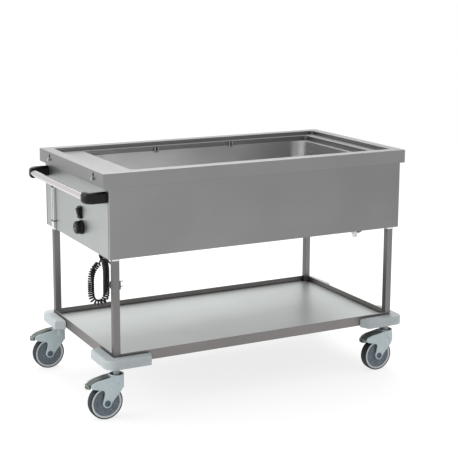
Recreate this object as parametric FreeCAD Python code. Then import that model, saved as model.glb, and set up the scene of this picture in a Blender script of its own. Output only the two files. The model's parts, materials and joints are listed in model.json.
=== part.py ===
import FreeCAD, Part
import math
import os

from FreeCAD import Vector

# Heated serving trolley (bain-marie trolley), millimetres, +Z up.
# +X runs along the length, with the handle and the controls at the -X end,
# and +Y runs to the far long side. The origin lies on the floor, under the
# middle of the trolley's box without its cord and plug.
# Pieces are drawn about the middle of the top frame and moved along X at
# the end, by frame_shift, because the castors trail towards the handle.

# ---------------------------------------------------------------- top frame
top_length = 1270.0
top_width = 670.0
top_height = 890.0
top_sheet = 1.5
top_corner_radius = 6.0
top_edge_radius = 2.4
apron_height = 50.0
border_width = 44.0
recess_depth = 14.0
recess_corner_radius = 8.0
deck_width = 111.0
end_ledge = 51.0
side_ledge = 33.0
opening_corner_radius = 10.0
collar_depth = 18.0

# ------------------------------------------------------------------- well
well_sheet = 1.2
well_depth = 178.0
well_end_shoulder = 26.0
well_side_shoulder = 2.0
well_corner_radius = 60.0
well_floor_radius = 25.0
pin_radius = 4.0
pin_length = 23.0
pin_rise = 1.0
pin_pair_gap = 13.0
first_pin_offset = 311.0
pin_pitch = 339.0

# ------------------------------------------------------------------ casing
panel_sheet = 1.2
end_overhang = 23.0
side_overhang = 2.0
casing_depth = 306.0
corner_fold = 8.0
casing_corner_radius = 3.0
panel_flange = 8.0
panel_gap = 0.5
fit_gap = 0.2

# ------------------------------------------------------------- frame posts
post_size = 25.0
post_wall = 1.5
post_corner_radius = 2.0
post_inset_end = 40.0
post_inset_side = 15.0
weld_collar_wall = 1.0
weld_collar_height = 8.0

# ------------------------------------------------------------- lower shelf
castor_height = 190.0
bumper_height = 34.0
shelf_above_bumper = 10.0
shelf_apron = 38.0
shelf_recess = 21.0
shelf_sheet = 1.5
shelf_hem = 3.0

# ------------------------------------------------------------------ bumpers
bumper_proud = 40.0
bumper_arm = 185.0
bumper_chamfer = 18.0
bumper_wall = 3.5
bumper_plate = 4.0
bumper_plate_reach = 42.0
bumper_gap = 2.0
bumper_edge_radius = 8.0

# ------------------------------------------------------------------ castors
wheel_radius = 62.5
tyre_width = 32.0
tyre_wall = 5.0
tyre_shoulder = 4.0
rim_ring = 7.0
wheel_boss_radius = 14.0
wheel_half_boss = 17.5
wheel_half_ring = 15.0
wheel_half_disc = 13.0
castor_trail = 44.0
fork_clearance = 4.0
arch_wall = 3.0
axle_radius = 6.0
running_gap = 0.05
axle_cap_radius = 11.5
axle_cap = 3.4
cheek_inner = 19.5
cheek_wall = 5.0
cheek_boss_radius = 17.0
cheek_edge_radius = 3.5
cheek_corner_radius = 7.0
head_radius = 25.0
head_height = 30.0
neck_radius = 15.0
neck_height = 22.0
kingpin_radius = 8.0
kingpin_length = 22.0
shank_length = 46.0
pedal_width = 33.0
pedal_tip_radius = 15.0
pedal_reach = 74.0
pedal_pin_radius = 3.0
pedal_pin_x = 4.0
pedal_pin_z = 98.0

# ------------------------------------------------------------------- handle
handle_radius = 12.5
handle_wall = 1.5
handle_reach = 68.0
handle_drop = 87.5
bracket_height = 41.0
bracket_width = 28.0
bracket_corner = 13.0
bracket_end_radius = 5.0
bracket_bend = 22.0
bracket_inset = 28.0
bracket_end = 12.0
handle_socket = 14.0
handle_screw_radius = 3.0
handle_screw_length = 22.0
handle_screw_head = 5.5
handle_screw_spacing = 20.0

# ----------------------------------------------------------------- controls
knob_y = -62.0
knob_rise = 65.0
knob_radius = 26.0
knob_skirt = 6.0
knob_depth = 26.0
knob_dome_radius = 9.0
knob_ridge = 2.5
knob_ridge_width = 7.0
knob_gap = 1.0
shaft_radius = 3.0
thermostat_width = 42.0
thermostat_depth = 30.0
switch_y = -52.0
switch_above_knob = 6.0
switch_width = 28.0
switch_height = 44.0
switch_bezel_depth = 9.0
switch_bezel_wall = 2.0
switch_body_depth = 26.0
rocker_proud = 18.0
rocker_tilt = 13.0
rocker_gap = 0.6
rocker_end_room = 3.0
rocker_hinge_depth = 4.0
rocker_pin_radius = 2.0
rocker_pin_hold = 1.0

# --------------------------------------------------- rail and hanging studs
rail_y = 229.0
rail_width = 22.0
rail_depth = 10.0
rail_wall = 1.5
rail_slot = 6.0
rail_top_drop = 133.0
rail_stop_rise = 35.0
rail_stop_height = 3.0
rail_clip_height = 8.0
stud_spacing = 459.0
stud_middle_y = -16.5
stud_drop = 21.0
stud_slot_height = 26.0
stud_slot_radius = 4.5
stud_eye_radius = 7.0
stud_radius = 3.5
stud_head_radius = 6.0
stud_head = 3.0
stud_proud = 5.0

# -------------------------------------------------------------- drain valve
drain_from_end = 74.0
drain_from_side = 51.0
drain_offset = 52.0
drain_radius = 12.8
drain_wall = 1.5
drain_bend = 18.0
drain_flange_radius = 24.0
drain_flange = 1.5
drain_drop = 30.0
drain_below = 14.0
valve_socket_wall = 4.0
valve_ball_radius = 17.0
valve_length = 32.0
valve_overlap = 6.0
spout_radius = 10.0
spout_bore = 8.0
spout_length = 14.0
valve_stem_radius = 4.0
valve_stem_length = 14.0
lever_hub_radius = 9.0
lever_length = 14.0
lever_width = 12.0
lever_thickness = 5.0

# -------------------------------------------------- heater and what is inside
heater_radius = 4.0
heater_bend = 40.0
heater_margin = 110.0
board_thickness = 20.0
board_margin = 120.0
terminal_length = 90.0
terminal_width = 60.0
terminal_height = 44.0

# ------------------------------------------------------ supply cord and plug
cord_radius = 3.2
curl_radius = 9.4
curl_spacing = 7.3
curl_ramp = 30.0
cord_tail = 72.0
gland_from_end = 23.0
gland_from_side = 146.0
gland_radius = 11.0
gland_hex = 6.0
gland_boot = 21.0
gland_boot_tip = 5.2
loop_outside = 16.0
loop_inside = 35.0
loop_drop = 188.0
plug_drop = 106.0
plug_face_from_post = 36.0
plug_radius = 17.0
plug_gap = 0.5
plug_depth = 30.0
plug_neck_radius = 8.0
plug_neck_length = 24.0
plug_pin_radius = 2.4
plug_pin_length = 19.0
plug_pin_spacing = 19.0
holder_sheet = 2.5
holder_half = 15.0
holder_pin_gap = 0.6

# --------------------------------------------------------------- worked out
half_l = top_length / 2
half_w = top_width / 2
deck_z = top_height - recess_depth
deck_under = deck_z - top_sheet
apron_z = top_height - apron_height
collar_z = deck_z - collar_depth
open_x0 = -half_l + border_width + deck_width
open_x1 = half_l - border_width - end_ledge
open_y = half_w - border_width - side_ledge
well_x0 = open_x0 + well_end_shoulder
well_x1 = open_x1 - well_end_shoulder
well_y = open_y - well_side_shoulder
well_floor_z = collar_z - well_depth
casing_x = half_l - end_overhang
casing_y = half_w - side_overhang
casing_z = top_height - casing_depth
post_x = half_l - post_inset_end - post_size / 2
post_y = half_w - post_inset_side - post_size / 2
bumper_top = castor_height + bumper_height
shelf_top = bumper_top + shelf_above_bumper
shelf_floor = shelf_top - shelf_recess
shelf_bottom = shelf_top - shelf_apron
shelf_x = post_x + post_size / 2
shelf_y = post_y + post_size / 2
post_bottom = castor_height + bumper_plate
head_top = castor_height - neck_height
cover_z = casing_z + panel_sheet + fit_gap
cover_top = cover_z + panel_sheet
handle_x = -casing_x - handle_reach
handle_z = top_height - handle_drop
bracket_y = casing_y - bracket_inset
panel_inner_x = -casing_x + panel_sheet
knob_z = casing_z + knob_rise
switch_z = knob_z + knob_radius + switch_above_knob + switch_height / 2
rail_top = top_height - rail_top_drop
rail_stop_z = casing_z + rail_stop_rise
drain_x = well_x1 - drain_from_end
drain_y = -well_y + drain_from_side
gland_x = -casing_x + gland_from_end
gland_y = -casing_y + gland_from_side
loop_left_x = -casing_x - loop_outside
loop_right_x = -casing_x + loop_inside
loop_low_z = casing_z - loop_drop
plug_z = casing_z - plug_drop
plug_face_x = -post_x - post_size / 2 + plug_face_from_post
holder_back = -post_y + post_size / 2 + fit_gap
plug_y = holder_back + holder_sheet + plug_gap + plug_radius

# The pedal's outer lip or the handle's bracket reaches furthest to the left.
castor_reach = post_x + castor_trail + pedal_reach
handle_outer = -handle_x + bracket_width / 2
reach_left = max(castor_reach, handle_outer, half_l)
frame_shift = (reach_left - half_l) / 2

AXIS_X = Vector(1, 0, 0)
AXIS_Y = Vector(0, 1, 0)
AXIS_Z = Vector(0, 0, 1)


# ------------------------------------------------------------------ helpers
def block(x0, y0, z0, x1, y1, z1):
    """A box between two corners."""
    return Part.makeBox(x1 - x0, y1 - y0, z1 - z0, Vector(x0, y0, z0))


def rod(radius, length, start, axis):
    """A cylinder that starts at a point and runs along an axis."""
    return Part.makeCylinder(radius, length, start, axis)


def join(shapes):
    """One clean solid from shapes that meet."""
    return shapes[0].multiFuse(shapes[1:]).removeSplitter()


def rounded_rectangle(x0, y0, x1, y1, radius, z):
    """A flat face in the XY plane with round corners."""
    face = block(x0, y0, z, x1, y1, z + 1)
    upright = [edge for edge in face.Edges if abs(edge.tangentAt(edge.FirstParameter).z) > 0.9]
    body = face.makeFillet(radius, upright)
    bottom = [f for f in body.Faces if f.CenterOfMass.z < z + 0.01]
    return bottom[0]


def slab(x0, y0, x1, y1, radius, z0, z1):
    """A plate with round corners in plan."""
    return rounded_rectangle(x0, y0, x1, y1, radius, z0).extrude(Vector(0, 0, z1 - z0))


def ring(outer, inner, z0, z1):
    """A frame between two rectangles, each (x0, y0, x1, y1, corner radius)."""
    return slab(*outer, z0, z1).cut(slab(*inner, z0 - 1, z1 + 1))


def grown(rectangle, amount):
    """A rectangle with round corners, moved outwards by an amount."""
    x0, y0, x1, y1, radius = rectangle
    return (x0 - amount, y0 - amount, x1 + amount, y1 + amount, max(radius + amount, 0.5))


def outline(points):
    """A closed wire of straight lines through points."""
    return Part.makePolygon(points + [points[0]])


def profile_xz(points, y0, y1):
    """A prism along Y from (x, z) points."""
    face = Part.Face(outline([Vector(x, y0, z) for x, z in points]))
    return face.extrude(Vector(0, y1 - y0, 0))


def turned(points, centre, axis_name):
    """A solid turned from (radius, place along the axis) points."""
    if axis_name == "z":
        corners = [Vector(r, 0, h) for r, h in points]
        axis = AXIS_Z
    else:
        corners = [Vector(r, h, 0) for r, h in points]
        axis = AXIS_Y
    solid = Part.Face(outline(corners)).revolve(Vector(0, 0, 0), axis, 360)
    solid.translate(centre)
    return solid


def hexagon(radius, z0, z1, x, y):
    """A hexagonal prism along Z."""
    corners = []
    for side in range(6):
        angle = math.radians(60 * side)
        corners.append(Vector(x + radius * math.cos(angle), y + radius * math.sin(angle), z0))
    return Part.Face(outline(corners)).extrude(Vector(0, 0, z1 - z0))


def swept_circle(wire, radius):
    """A round bar along a wire of lines and arcs."""
    edge = wire.Edges[0]
    start = edge.valueAt(edge.FirstParameter)
    along = edge.tangentAt(edge.FirstParameter)
    section = Part.Wire(Part.makeCircle(radius, start, along))
    return wire.makePipeShell([section], True, False)


def bent_path(points, bend):
    """Straight runs joined by arcs of one radius, as a wire."""
    edges = []
    start = points[0]
    for index in range(1, len(points) - 1):
        corner = points[index]
        towards = (points[index - 1] - corner).normalize()
        onwards = (points[index + 1] - corner).normalize()
        half_turn = towards.getAngle(onwards) / 2
        cut = bend / math.tan(half_turn)
        first = corner + towards * cut
        last = corner + onwards * cut
        inward = (towards + onwards).normalize()
        middle = corner + inward * (bend / math.sin(half_turn) - bend)
        if (first - start).Length > 0.001:
            edges.append(Part.LineSegment(start, first).toShape())
        edges.append(Part.Arc(first, middle, last).toShape())
        start = last
    edges.append(Part.LineSegment(start, points[-1]).toShape())
    return Part.Wire(edges)


def mirrored(shape, normal):
    """A copy mirrored in a plane through the origin."""
    return shape.mirror(Vector(0, 0, 0), normal)


def export(name, shapes):
    """Write one node; a node of several pieces is a group of solids."""
    solids = shapes if isinstance(shapes, list) else [shapes]
    group = solids[0] if len(solids) == 1 else Part.makeCompound(solids)
    group = group.copy()
    group.translate(Vector(frame_shift, 0, 0))
    group.exportStep(f"parts/{name}.step")


# ---------------------------------------------------------------- top frame
def keyhole(y):
    """The cutter of one hanging slot in the end of the top frame."""
    z = top_height - stud_drop
    half_height = stud_slot_height / 2
    low = Vector(-half_l - 1, y, z - half_height + stud_slot_radius)
    eye = Vector(-half_l - 1, y, z + half_height - stud_eye_radius)
    through = top_sheet + 2
    narrow = block(low.x, y - stud_slot_radius, low.z, low.x + through, y + stud_slot_radius, eye.z)
    return join([narrow, rod(stud_slot_radius, through, low, AXIS_X), rod(stud_eye_radius, through, eye, AXIS_X)])


def stud_places():
    """The two places of the hanging studs along the end of the frame."""
    return [stud_middle_y - stud_spacing / 2, stud_middle_y + stud_spacing / 2]


def make_top_frame():
    """Border, step, deck, collar and apron, folded from one sheet."""
    outer = (-half_l, -half_w, half_l, half_w, top_corner_radius)
    inside = grown(outer, -top_sheet)
    recess = grown(outer, -border_width)
    recess = recess[:4] + (recess_corner_radius,)
    opening = (open_x0, -open_y, open_x1, open_y, opening_corner_radius)
    casing = (-casing_x, -casing_y, casing_x, casing_y, casing_corner_radius)
    pieces = [
        ring(outer, recess, top_height - top_sheet, top_height),
        ring(outer, inside, apron_z, top_height),
        ring(grown(recess, top_sheet), recess, deck_under, top_height),
        ring(grown(recess, top_sheet), opening, deck_under, deck_z),
        ring(grown(opening, top_sheet), opening, collar_z, deck_z),
        ring(outer, grown(casing, panel_gap), apron_z, apron_z + top_sheet),
    ]
    frame = join(pieces)
    rim_edges = []
    for edge in frame.Edges:
        box = edge.BoundBox
        on_top = box.ZMin > top_height - 0.01
        outside = box.XMax > half_l - top_corner_radius - 1 or box.XMin < -half_l + top_corner_radius + 1
        beside = box.YMax > half_w - top_corner_radius - 1 or box.YMin < -half_w + top_corner_radius + 1
        if on_top and (outside or beside):
            rim_edges.append(edge)
    frame = frame.makeFillet(top_edge_radius, rim_edges)
    for y in stud_places():
        frame = frame.cut(keyhole(y))
    return frame


def make_hanging_studs():
    """Headed studs that sit in the hanging slots, on a backing pad."""
    studs = []
    z = top_height - stud_drop - stud_slot_height / 2 + stud_slot_radius
    inner = -half_l + top_sheet
    for y in stud_places():
        pad = block(inner + fit_gap, y - stud_eye_radius, z - stud_eye_radius,
                    inner + fit_gap + stud_head, y + stud_eye_radius, z + stud_eye_radius)
        shank_start = Vector(-half_l - stud_proud, y, z)
        shank = rod(stud_radius, inner + fit_gap + half_l + stud_proud, shank_start, AXIS_X)
        head = rod(stud_head_radius, stud_head, Vector(-half_l - stud_proud - stud_head, y, z), AXIS_X)
        studs.append(join([pad, shank, head]))
    return studs


# --------------------------------------------------------------------- well
def basin_form(growth, floor_z):
    """The basin's form, grown by a wall, with its floor rounded up."""
    plan = grown((well_x0, -well_y, well_x1, well_y, well_corner_radius), growth)
    body = slab(*plan, floor_z, collar_z)
    low = [edge for edge in body.Edges if edge.BoundBox.ZMax < floor_z + 0.01]
    return body.makeFillet(well_floor_radius + growth, low)


def make_well_basin():
    """The pressed water well, with its flange under the frame's collar."""
    shell = basin_form(well_sheet, well_floor_z - well_sheet)
    opening = (open_x0, -open_y, open_x1, open_y, opening_corner_radius)
    flange = slab(*grown(opening, top_sheet), collar_z - well_sheet, collar_z)
    basin = join([shell, flange]).cut(basin_form(0.0, well_floor_z))
    hole = rod(drain_radius + fit_gap, 4 * well_sheet,
               Vector(drain_x, drain_y, well_floor_z - 2 * well_sheet), AXIS_Z)
    return basin.cut(hole)


def make_crossbar_pins():
    """Pairs of upright pins that hold the bars between the food pans."""
    pins = []
    high = deck_z - pin_rise
    low = high - pin_length
    half = pin_radius / 2
    for pair in range(2):
        middle = open_x0 + first_pin_offset + pair * pin_pitch
        for side in (-1, 1):
            for offset in (-pin_pair_gap / 2, pin_pair_gap / 2):
                x = middle + offset
                y = side * (well_y - pin_radius - fit_gap)
                upright = rod(pin_radius, pin_length, Vector(x, y, low), AXIS_Z)
                y0, y1 = sorted((y, side * open_y))
                lug = block(x - half, y0, collar_z + 2 * fit_gap, x + half, y1, high - pin_radius)
                pins.append(join([upright, lug]))
    return pins


# ------------------------------------------------------------------- casing
def long_panel(side):
    """A long side panel with its ends folded round the corners."""
    outer = side * casing_y
    inner = side * (casing_y - panel_sheet)
    fold = side * (casing_y - corner_fold)
    flange = side * (casing_y - panel_sheet - panel_flange)
    y0, y1 = sorted((outer, inner))
    sheet = block(-casing_x, y0, casing_z, casing_x, y1, deck_under)
    fold_y0, fold_y1 = sorted((outer, fold))
    pieces = [sheet]
    for end in (-1, 1):
        x0, x1 = sorted((end * casing_x, end * (casing_x - panel_sheet)))
        pieces.append(block(x0, fold_y0, casing_z, x1, fold_y1, deck_under))
    flange_y0, flange_y1 = sorted((outer, flange))
    pieces.append(block(-casing_x, flange_y0, casing_z, casing_x, flange_y1, casing_z + panel_sheet))
    panel = join(pieces)
    within = slab(-casing_x, -casing_y, casing_x, casing_y, casing_corner_radius, casing_z - 1, deck_under + 1)
    return panel.common(within)


def end_panel(end):
    """A short end panel between the folds, with flanges turned inwards."""
    reach = casing_y - corner_fold - panel_gap
    x0, x1 = sorted((end * casing_x, end * (casing_x - panel_sheet)))
    flange_x0, flange_x1 = sorted((end * casing_x, end * (casing_x - panel_sheet - panel_flange)))
    low = casing_z
    pieces = [
        block(x0, -reach, low, x1, reach, deck_under),
        block(flange_x0, -reach + panel_flange, low, flange_x1, reach - panel_flange, low + panel_sheet),
        block(flange_x0, -reach, low + panel_flange, flange_x1, -reach + panel_sheet, deck_under),
        block(flange_x0, reach - panel_sheet, low + panel_flange, flange_x1, reach, deck_under),
    ]
    return join(pieces)


def bracket_screw_places():
    """Where the handle's screws cross the control panel, as (y, z)."""
    places = []
    for side in (-1, 1):
        for step in (-handle_screw_spacing / 2, handle_screw_spacing / 2):
            places.append((side * bracket_y, handle_z + step))
    return places


def make_control_panel():
    """The end panel that carries the handle, the switch and the knob."""
    panel = end_panel(-1)
    start_x = -casing_x - 1
    through = panel_sheet + 2
    cutters = [rod(shaft_radius + knob_gap, through, Vector(start_x, knob_y, knob_z), AXIS_X)]
    half_w_switch = switch_width / 2 - switch_bezel_wall
    half_h_switch = switch_height / 2 - switch_bezel_wall
    cutters.append(block(start_x, switch_y - half_w_switch, switch_z - half_h_switch,
                         start_x + through, switch_y + half_w_switch, switch_z + half_h_switch))
    for y, z in bracket_screw_places():
        cutters.append(rod(handle_screw_radius + fit_gap, through, Vector(start_x, y, z), AXIS_X))
    for cutter in cutters:
        panel = panel.cut(cutter)
    return panel


def make_bottom_cover():
    """The removable sheet under the heater, cut out round the posts."""
    reach_x = casing_x - panel_sheet - panel_gap
    reach_y = casing_y - panel_sheet - panel_gap
    cover = block(-reach_x, -reach_y, cover_z, reach_x, reach_y, cover_top)
    half = post_size / 2 + panel_gap
    for x in (-post_x, post_x):
        for y in (-post_y, post_y):
            cover = cover.cut(block(x - half, y - half, cover_z - 1, x + half, y + half, cover_top + 1))
    drain_hole = Vector(drain_x + drain_offset, drain_y, cover_z - 1)
    cover = cover.cut(rod(drain_radius + 2, panel_sheet + 2, drain_hole, AXIS_Z))
    entry = Vector(gland_x, gland_y, cover_z - 1)
    return cover.cut(rod(cord_radius + 2, panel_sheet + 2, entry, AXIS_Z))


# -------------------------------------------------------------------- frame
def make_post(x, y):
    """A square tube from the bumper's plate to the deck, with a weld collar."""
    half = post_size / 2
    tube = slab(x - half, y - half, x + half, y + half, post_corner_radius, post_bottom, deck_under)
    hollow = half - post_wall
    tube = tube.cut(block(x - hollow, y - hollow, post_bottom - 1, x + hollow, y + hollow, deck_under + 1))
    sleeve = half + weld_collar_wall
    collar = block(x - sleeve, y - sleeve, casing_z - weld_collar_height,
                   x + sleeve, y + sleeve, casing_z - fit_gap)
    collar = collar.cut(block(x - hollow, y - hollow, post_bottom, x + hollow, y + hollow, deck_under))
    return join([tube, collar])


def make_lower_shelf():
    """The folded shelf: a recessed floor inside a hemmed apron."""
    shelf = block(-shelf_x, -shelf_y, shelf_bottom, shelf_x, shelf_y, shelf_top)
    inner_x = shelf_x - shelf_hem
    inner_y = shelf_y - shelf_hem
    shelf = shelf.cut(block(-inner_x, -inner_y, shelf_floor, inner_x, inner_y, shelf_top + 1))
    under = shelf_floor - shelf_sheet
    shelf = shelf.cut(block(-inner_x, -inner_y, shelf_bottom - 1, inner_x, inner_y, under))
    notch = post_size + fit_gap
    for sx in (-1, 1):
        for sy in (-1, 1):
            x0, x1 = sorted((sx * (shelf_x + 1), sx * (shelf_x - notch)))
            y0, y1 = sorted((sy * (shelf_y + 1), sy * (shelf_y - notch)))
            shelf = shelf.cut(block(x0, y0, shelf_bottom - 1, x1, y1, shelf_top + 1))
    return shelf


def bumper_plan(outer, inner, chamfer, arm):
    """The plan of a corner bumper round the corner (0, 0), arms along +X and +Y."""
    bend = outer * (1 - math.sqrt(0.5))
    start = Vector(0, -outer, 0)
    middle = Vector(-outer + bend, -outer + bend, 0)
    end = Vector(-outer, 0, 0)
    reach = arm - bumper_proud
    points = [
        end,
        Vector(-outer, reach - chamfer, 0),
        Vector(-inner, reach, 0),
        Vector(-inner, -inner, 0),
        Vector(reach, -inner, 0),
        Vector(reach - chamfer, -outer, 0),
        start,
    ]
    edges = [Part.LineSegment(points[i], points[i + 1]).toShape() for i in range(len(points) - 1)]
    edges.append(Part.Arc(start, middle, end).toShape())
    return Part.Face(Part.Wire(edges))


def make_bumper(sx, sy):
    """A hollow plastic corner bumper, with a plate held under the post."""
    body = bumper_plan(bumper_proud, bumper_gap, bumper_chamfer, bumper_arm).extrude(Vector(0, 0, bumper_height))
    upper = []
    for edge in body.Edges:
        box = edge.BoundBox
        flat_top = box.ZMin > bumper_height - 0.01
        at_gap = box.XMin > -bumper_gap - 0.01 and box.YMin > -bumper_gap - 0.01
        if flat_top and not at_gap:
            upper.append(edge)
    body = body.makeFillet(bumper_edge_radius, upper)
    depth = bumper_proud - bumper_gap
    pocket_chamfer = bumper_chamfer * (depth - 2 * bumper_wall) / depth
    pocket = bumper_plan(bumper_proud - bumper_wall, bumper_gap + bumper_wall, pocket_chamfer,
                         bumper_arm - 2 * bumper_wall)
    body = body.cut(pocket.extrude(Vector(0, 0, bumper_height - bumper_wall)))
    reach = bumper_plate_reach
    lip = bumper_gap + bumper_wall + 3
    plate = block(-lip, -lip, 0, reach, reach, bumper_plate)
    centre = post_size / 2
    hole = rod(post_size / 2 - post_wall - fit_gap, bumper_plate + 2, Vector(centre, centre, -1), AXIS_Z)
    bumper = join([body, plate]).cut(hole)
    if sx > 0:
        bumper = mirrored(bumper, AXIS_X)
    if sy > 0:
        bumper = mirrored(bumper, AXIS_Y)
    bumper.translate(Vector(sx * shelf_x, sy * shelf_y, castor_height))
    return bumper


# ------------------------------------------------------------------ castors
def make_castor_stem(x, y):
    """Kingpin, neck and the shank that is plugged into the post."""
    shank = post_size / 2 - post_wall - 2 * fit_gap
    points = [
        (0, head_top - kingpin_length),
        (kingpin_radius, head_top - kingpin_length),
        (kingpin_radius, head_top + 2 * fit_gap),
        (neck_radius, head_top + 2 * fit_gap),
        (neck_radius, castor_height),
        (shank, castor_height),
        (shank, castor_height + shank_length),
        (0, castor_height + shank_length),
    ]
    return turned(points, Vector(x, y, 0), "z")


def cheek_outline():
    """One cheek of the fork, from the wheel's axle: round the boss, up the leg and over the head."""
    head_z = head_top - wheel_radius
    boss = cheek_boss_radius
    leg = castor_trail + head_radius - 7
    points = [
        (boss * 0.62, -boss * 0.785), (leg - 26, 26), (leg - 8, 46), (leg, 76), (leg, head_z),
        (pedal_pin_x - 8, head_z - 1), (-32, 96), (-53, 86), (-58, 76), (-50, 64), (-19, 61), (-12, 40),
        (-boss, 0),
    ]
    corners = [Vector(px, 0, pz) for px, pz in points]
    flank = bent_path(corners, cheek_corner_radius)
    low = Vector(-boss * 0.45, 0, -boss * 0.893)
    return Part.Wire(flank.Edges + [Part.Arc(corners[-1], low, corners[0]).toShape()])


def make_fork(x, y):
    """The moulded castor housing: head, two cheeks and the arch between."""
    axle = Vector(x - castor_trail, y, wheel_radius)
    pieces = []
    for side in (-1, 1):
        cheek = Part.Face(cheek_outline()).extrude(Vector(0, cheek_wall, 0))
        outer = cheek_wall if side > 0 else 0.0
        rims = [edge for edge in cheek.Edges
                if abs(edge.BoundBox.YMin - outer) < 0.01 and abs(edge.BoundBox.YMax - outer) < 0.01]
        cheek = cheek.makeFillet(cheek_edge_radius, rims)
        start = cheek_inner if side > 0 else -cheek_inner - cheek_wall
        cheek.translate(axle + Vector(0, start, 0))
        pieces.append(cheek)
    head = rod(head_radius, head_height, Vector(x, y, head_top - head_height), AXIS_Z)
    crown = [edge for edge in head.Edges if edge.BoundBox.ZMin > head_top - 0.01]
    pieces.append(head.makeFillet(cheek_edge_radius, crown))
    web_low = 2 * wheel_radius + fork_clearance / 2
    inside = cheek_inner + 1
    pieces.append(block(x - 5, y - inside, web_low, x + head_radius - 12, y + inside, head_top - head_height + 2))
    arch_low = wheel_radius + fork_clearance
    arch_high = arch_low + arch_wall
    arch = turned([(arch_low, -inside), (arch_high, -inside), (arch_high, inside), (arch_low, inside)], axle, "y")
    sector = profile_xz([(axle.x, axle.z), (axle.x + 45, axle.z + 84), (axle.x - 30, axle.z + 98),
                         (axle.x - 42, axle.z + 62)], y - inside - 1, y + inside + 1)
    pieces.append(arch.common(sector))
    fork = join(pieces)
    bore = rod(kingpin_radius + running_gap, kingpin_length + 1.0,
               Vector(x, y, head_top - kingpin_length - 0.5), AXIS_Z)
    across = 2 * (cheek_inner + cheek_wall + 1)
    start = Vector(0, -across / 2, 0)
    axle_hole = rod(axle_radius + fit_gap, across, axle + start, AXIS_Y)
    pedal_hole = rod(pedal_pin_radius + running_gap, across,
                     axle + start + Vector(pedal_pin_x, 0, pedal_pin_z), AXIS_Y)
    return fork.cut(bore).cut(axle_hole).cut(pedal_hole)


def make_axle(x, y):
    """The wheel's axle with a round cap at each end."""
    axle = Vector(x - castor_trail, y, wheel_radius)
    outer = cheek_inner + cheek_wall + fit_gap
    points = [(0, -outer - axle_cap), (axle_cap_radius - 1.5, -outer - axle_cap),
              (axle_cap_radius, -outer - axle_cap + 1.5), (axle_cap_radius, -outer),
              (axle_radius, -outer), (axle_radius, outer), (axle_cap_radius, outer),
              (axle_cap_radius, outer + axle_cap - 1.5), (axle_cap_radius - 1.5, outer + axle_cap),
              (0, outer + axle_cap)]
    return turned(points, axle, "y")


def make_pedal(x, y):
    """The total-lock brake pedal, pivoted between the cheeks."""
    axle = Vector(x - castor_trail, y, wheel_radius)
    half = pedal_width / 2
    right = castor_trail - head_radius - 7
    points = [
        (right + 10, 108), (right + 9, 114), (right, 114), (0, 108), (-30, 102), (-54, 93), (-64, 89),
        (-pedal_reach, 85), (4 - pedal_reach, 78), (-58, 72), (-51, 67), (-47, 72), (-46, 81), (-22, 92),
        (-6, 95), (-4, 90), (right, 90), (right, 107),
    ]
    plate = profile_xz([(axle.x + px, axle.z + pz) for px, pz in points], y - half, y + half)
    plan = slab(axle.x - pedal_reach, y - half, x + head_radius + pedal_tip_radius, y + half, pedal_tip_radius,
                wheel_radius, castor_height)
    plate = plate.common(plan)
    reach = cheek_inner + cheek_wall - 1
    pin = rod(pedal_pin_radius, 2 * reach, axle + Vector(pedal_pin_x, -reach, pedal_pin_z), AXIS_Y)
    return join([plate, pin])


def make_wheel(x, y):
    """The wheel's centre: boss, disc and the pale rim ring."""
    axle = Vector(x - castor_trail, y, wheel_radius)
    bore = axle_radius + running_gap
    seat = wheel_radius - tyre_wall - fit_gap
    ring_in = seat - rim_ring
    half = [(bore, wheel_half_boss), (wheel_boss_radius, wheel_half_boss),
            (wheel_boss_radius + 3, wheel_half_disc + 1), (ring_in - 3, wheel_half_disc + 1),
            (ring_in - 1, wheel_half_disc - 1), (ring_in, wheel_half_ring - 1),
            (ring_in + 1, wheel_half_ring), (seat - 1, wheel_half_ring), (seat, wheel_half_ring - 1)]
    back = [(radius, -place) for radius, place in reversed(half)]
    return turned(half + back, axle, "y")


def make_tyre(x, y):
    """The rubber tyre, with round shoulders."""
    axle = Vector(x - castor_trail, y, wheel_radius)
    seat = wheel_radius - tyre_wall
    half = tyre_width / 2
    crown = 1.2
    edges = []
    shoulder = wheel_radius - tyre_shoulder
    corners = [
        Vector(seat, -half + 1, 0),
        Vector(shoulder, -half, 0),
        Vector(wheel_radius - crown, -half + tyre_shoulder, 0),
        Vector(wheel_radius - crown, half - tyre_shoulder, 0),
        Vector(shoulder, half, 0),
        Vector(seat, half - 1, 0),
    ]
    bulge = tyre_shoulder * (1 - math.sqrt(0.5))
    low_middle = Vector(wheel_radius - crown / 2 - bulge, -half + bulge, 0)
    high_middle = Vector(wheel_radius - crown / 2 - bulge, half - bulge, 0)
    edges.append(Part.LineSegment(corners[0], corners[1]).toShape())
    edges.append(Part.Arc(corners[1], low_middle, corners[2]).toShape())
    edges.append(Part.Arc(corners[2], Vector(wheel_radius, 0, 0), corners[3]).toShape())
    edges.append(Part.Arc(corners[3], high_middle, corners[4]).toShape())
    edges.append(Part.LineSegment(corners[4], corners[5]).toShape())
    edges.append(Part.LineSegment(corners[5], corners[0]).toShape())
    tyre = Part.Face(Part.Wire(edges)).revolve(Vector(0, 0, 0), AXIS_Y, 360)
    tyre.translate(axle)
    return tyre


# ------------------------------------------------------------------- handle
def make_handle_tube():
    """The round push bar between the two brackets."""
    reach = bracket_y - bracket_bend - bracket_end + handle_socket - fit_gap
    start = Vector(handle_x, -reach, handle_z)
    bar = rod(handle_radius, 2 * reach, start, AXIS_Y)
    return bar.cut(rod(handle_radius - handle_wall, 2 * reach, start, AXIS_Y))


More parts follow.
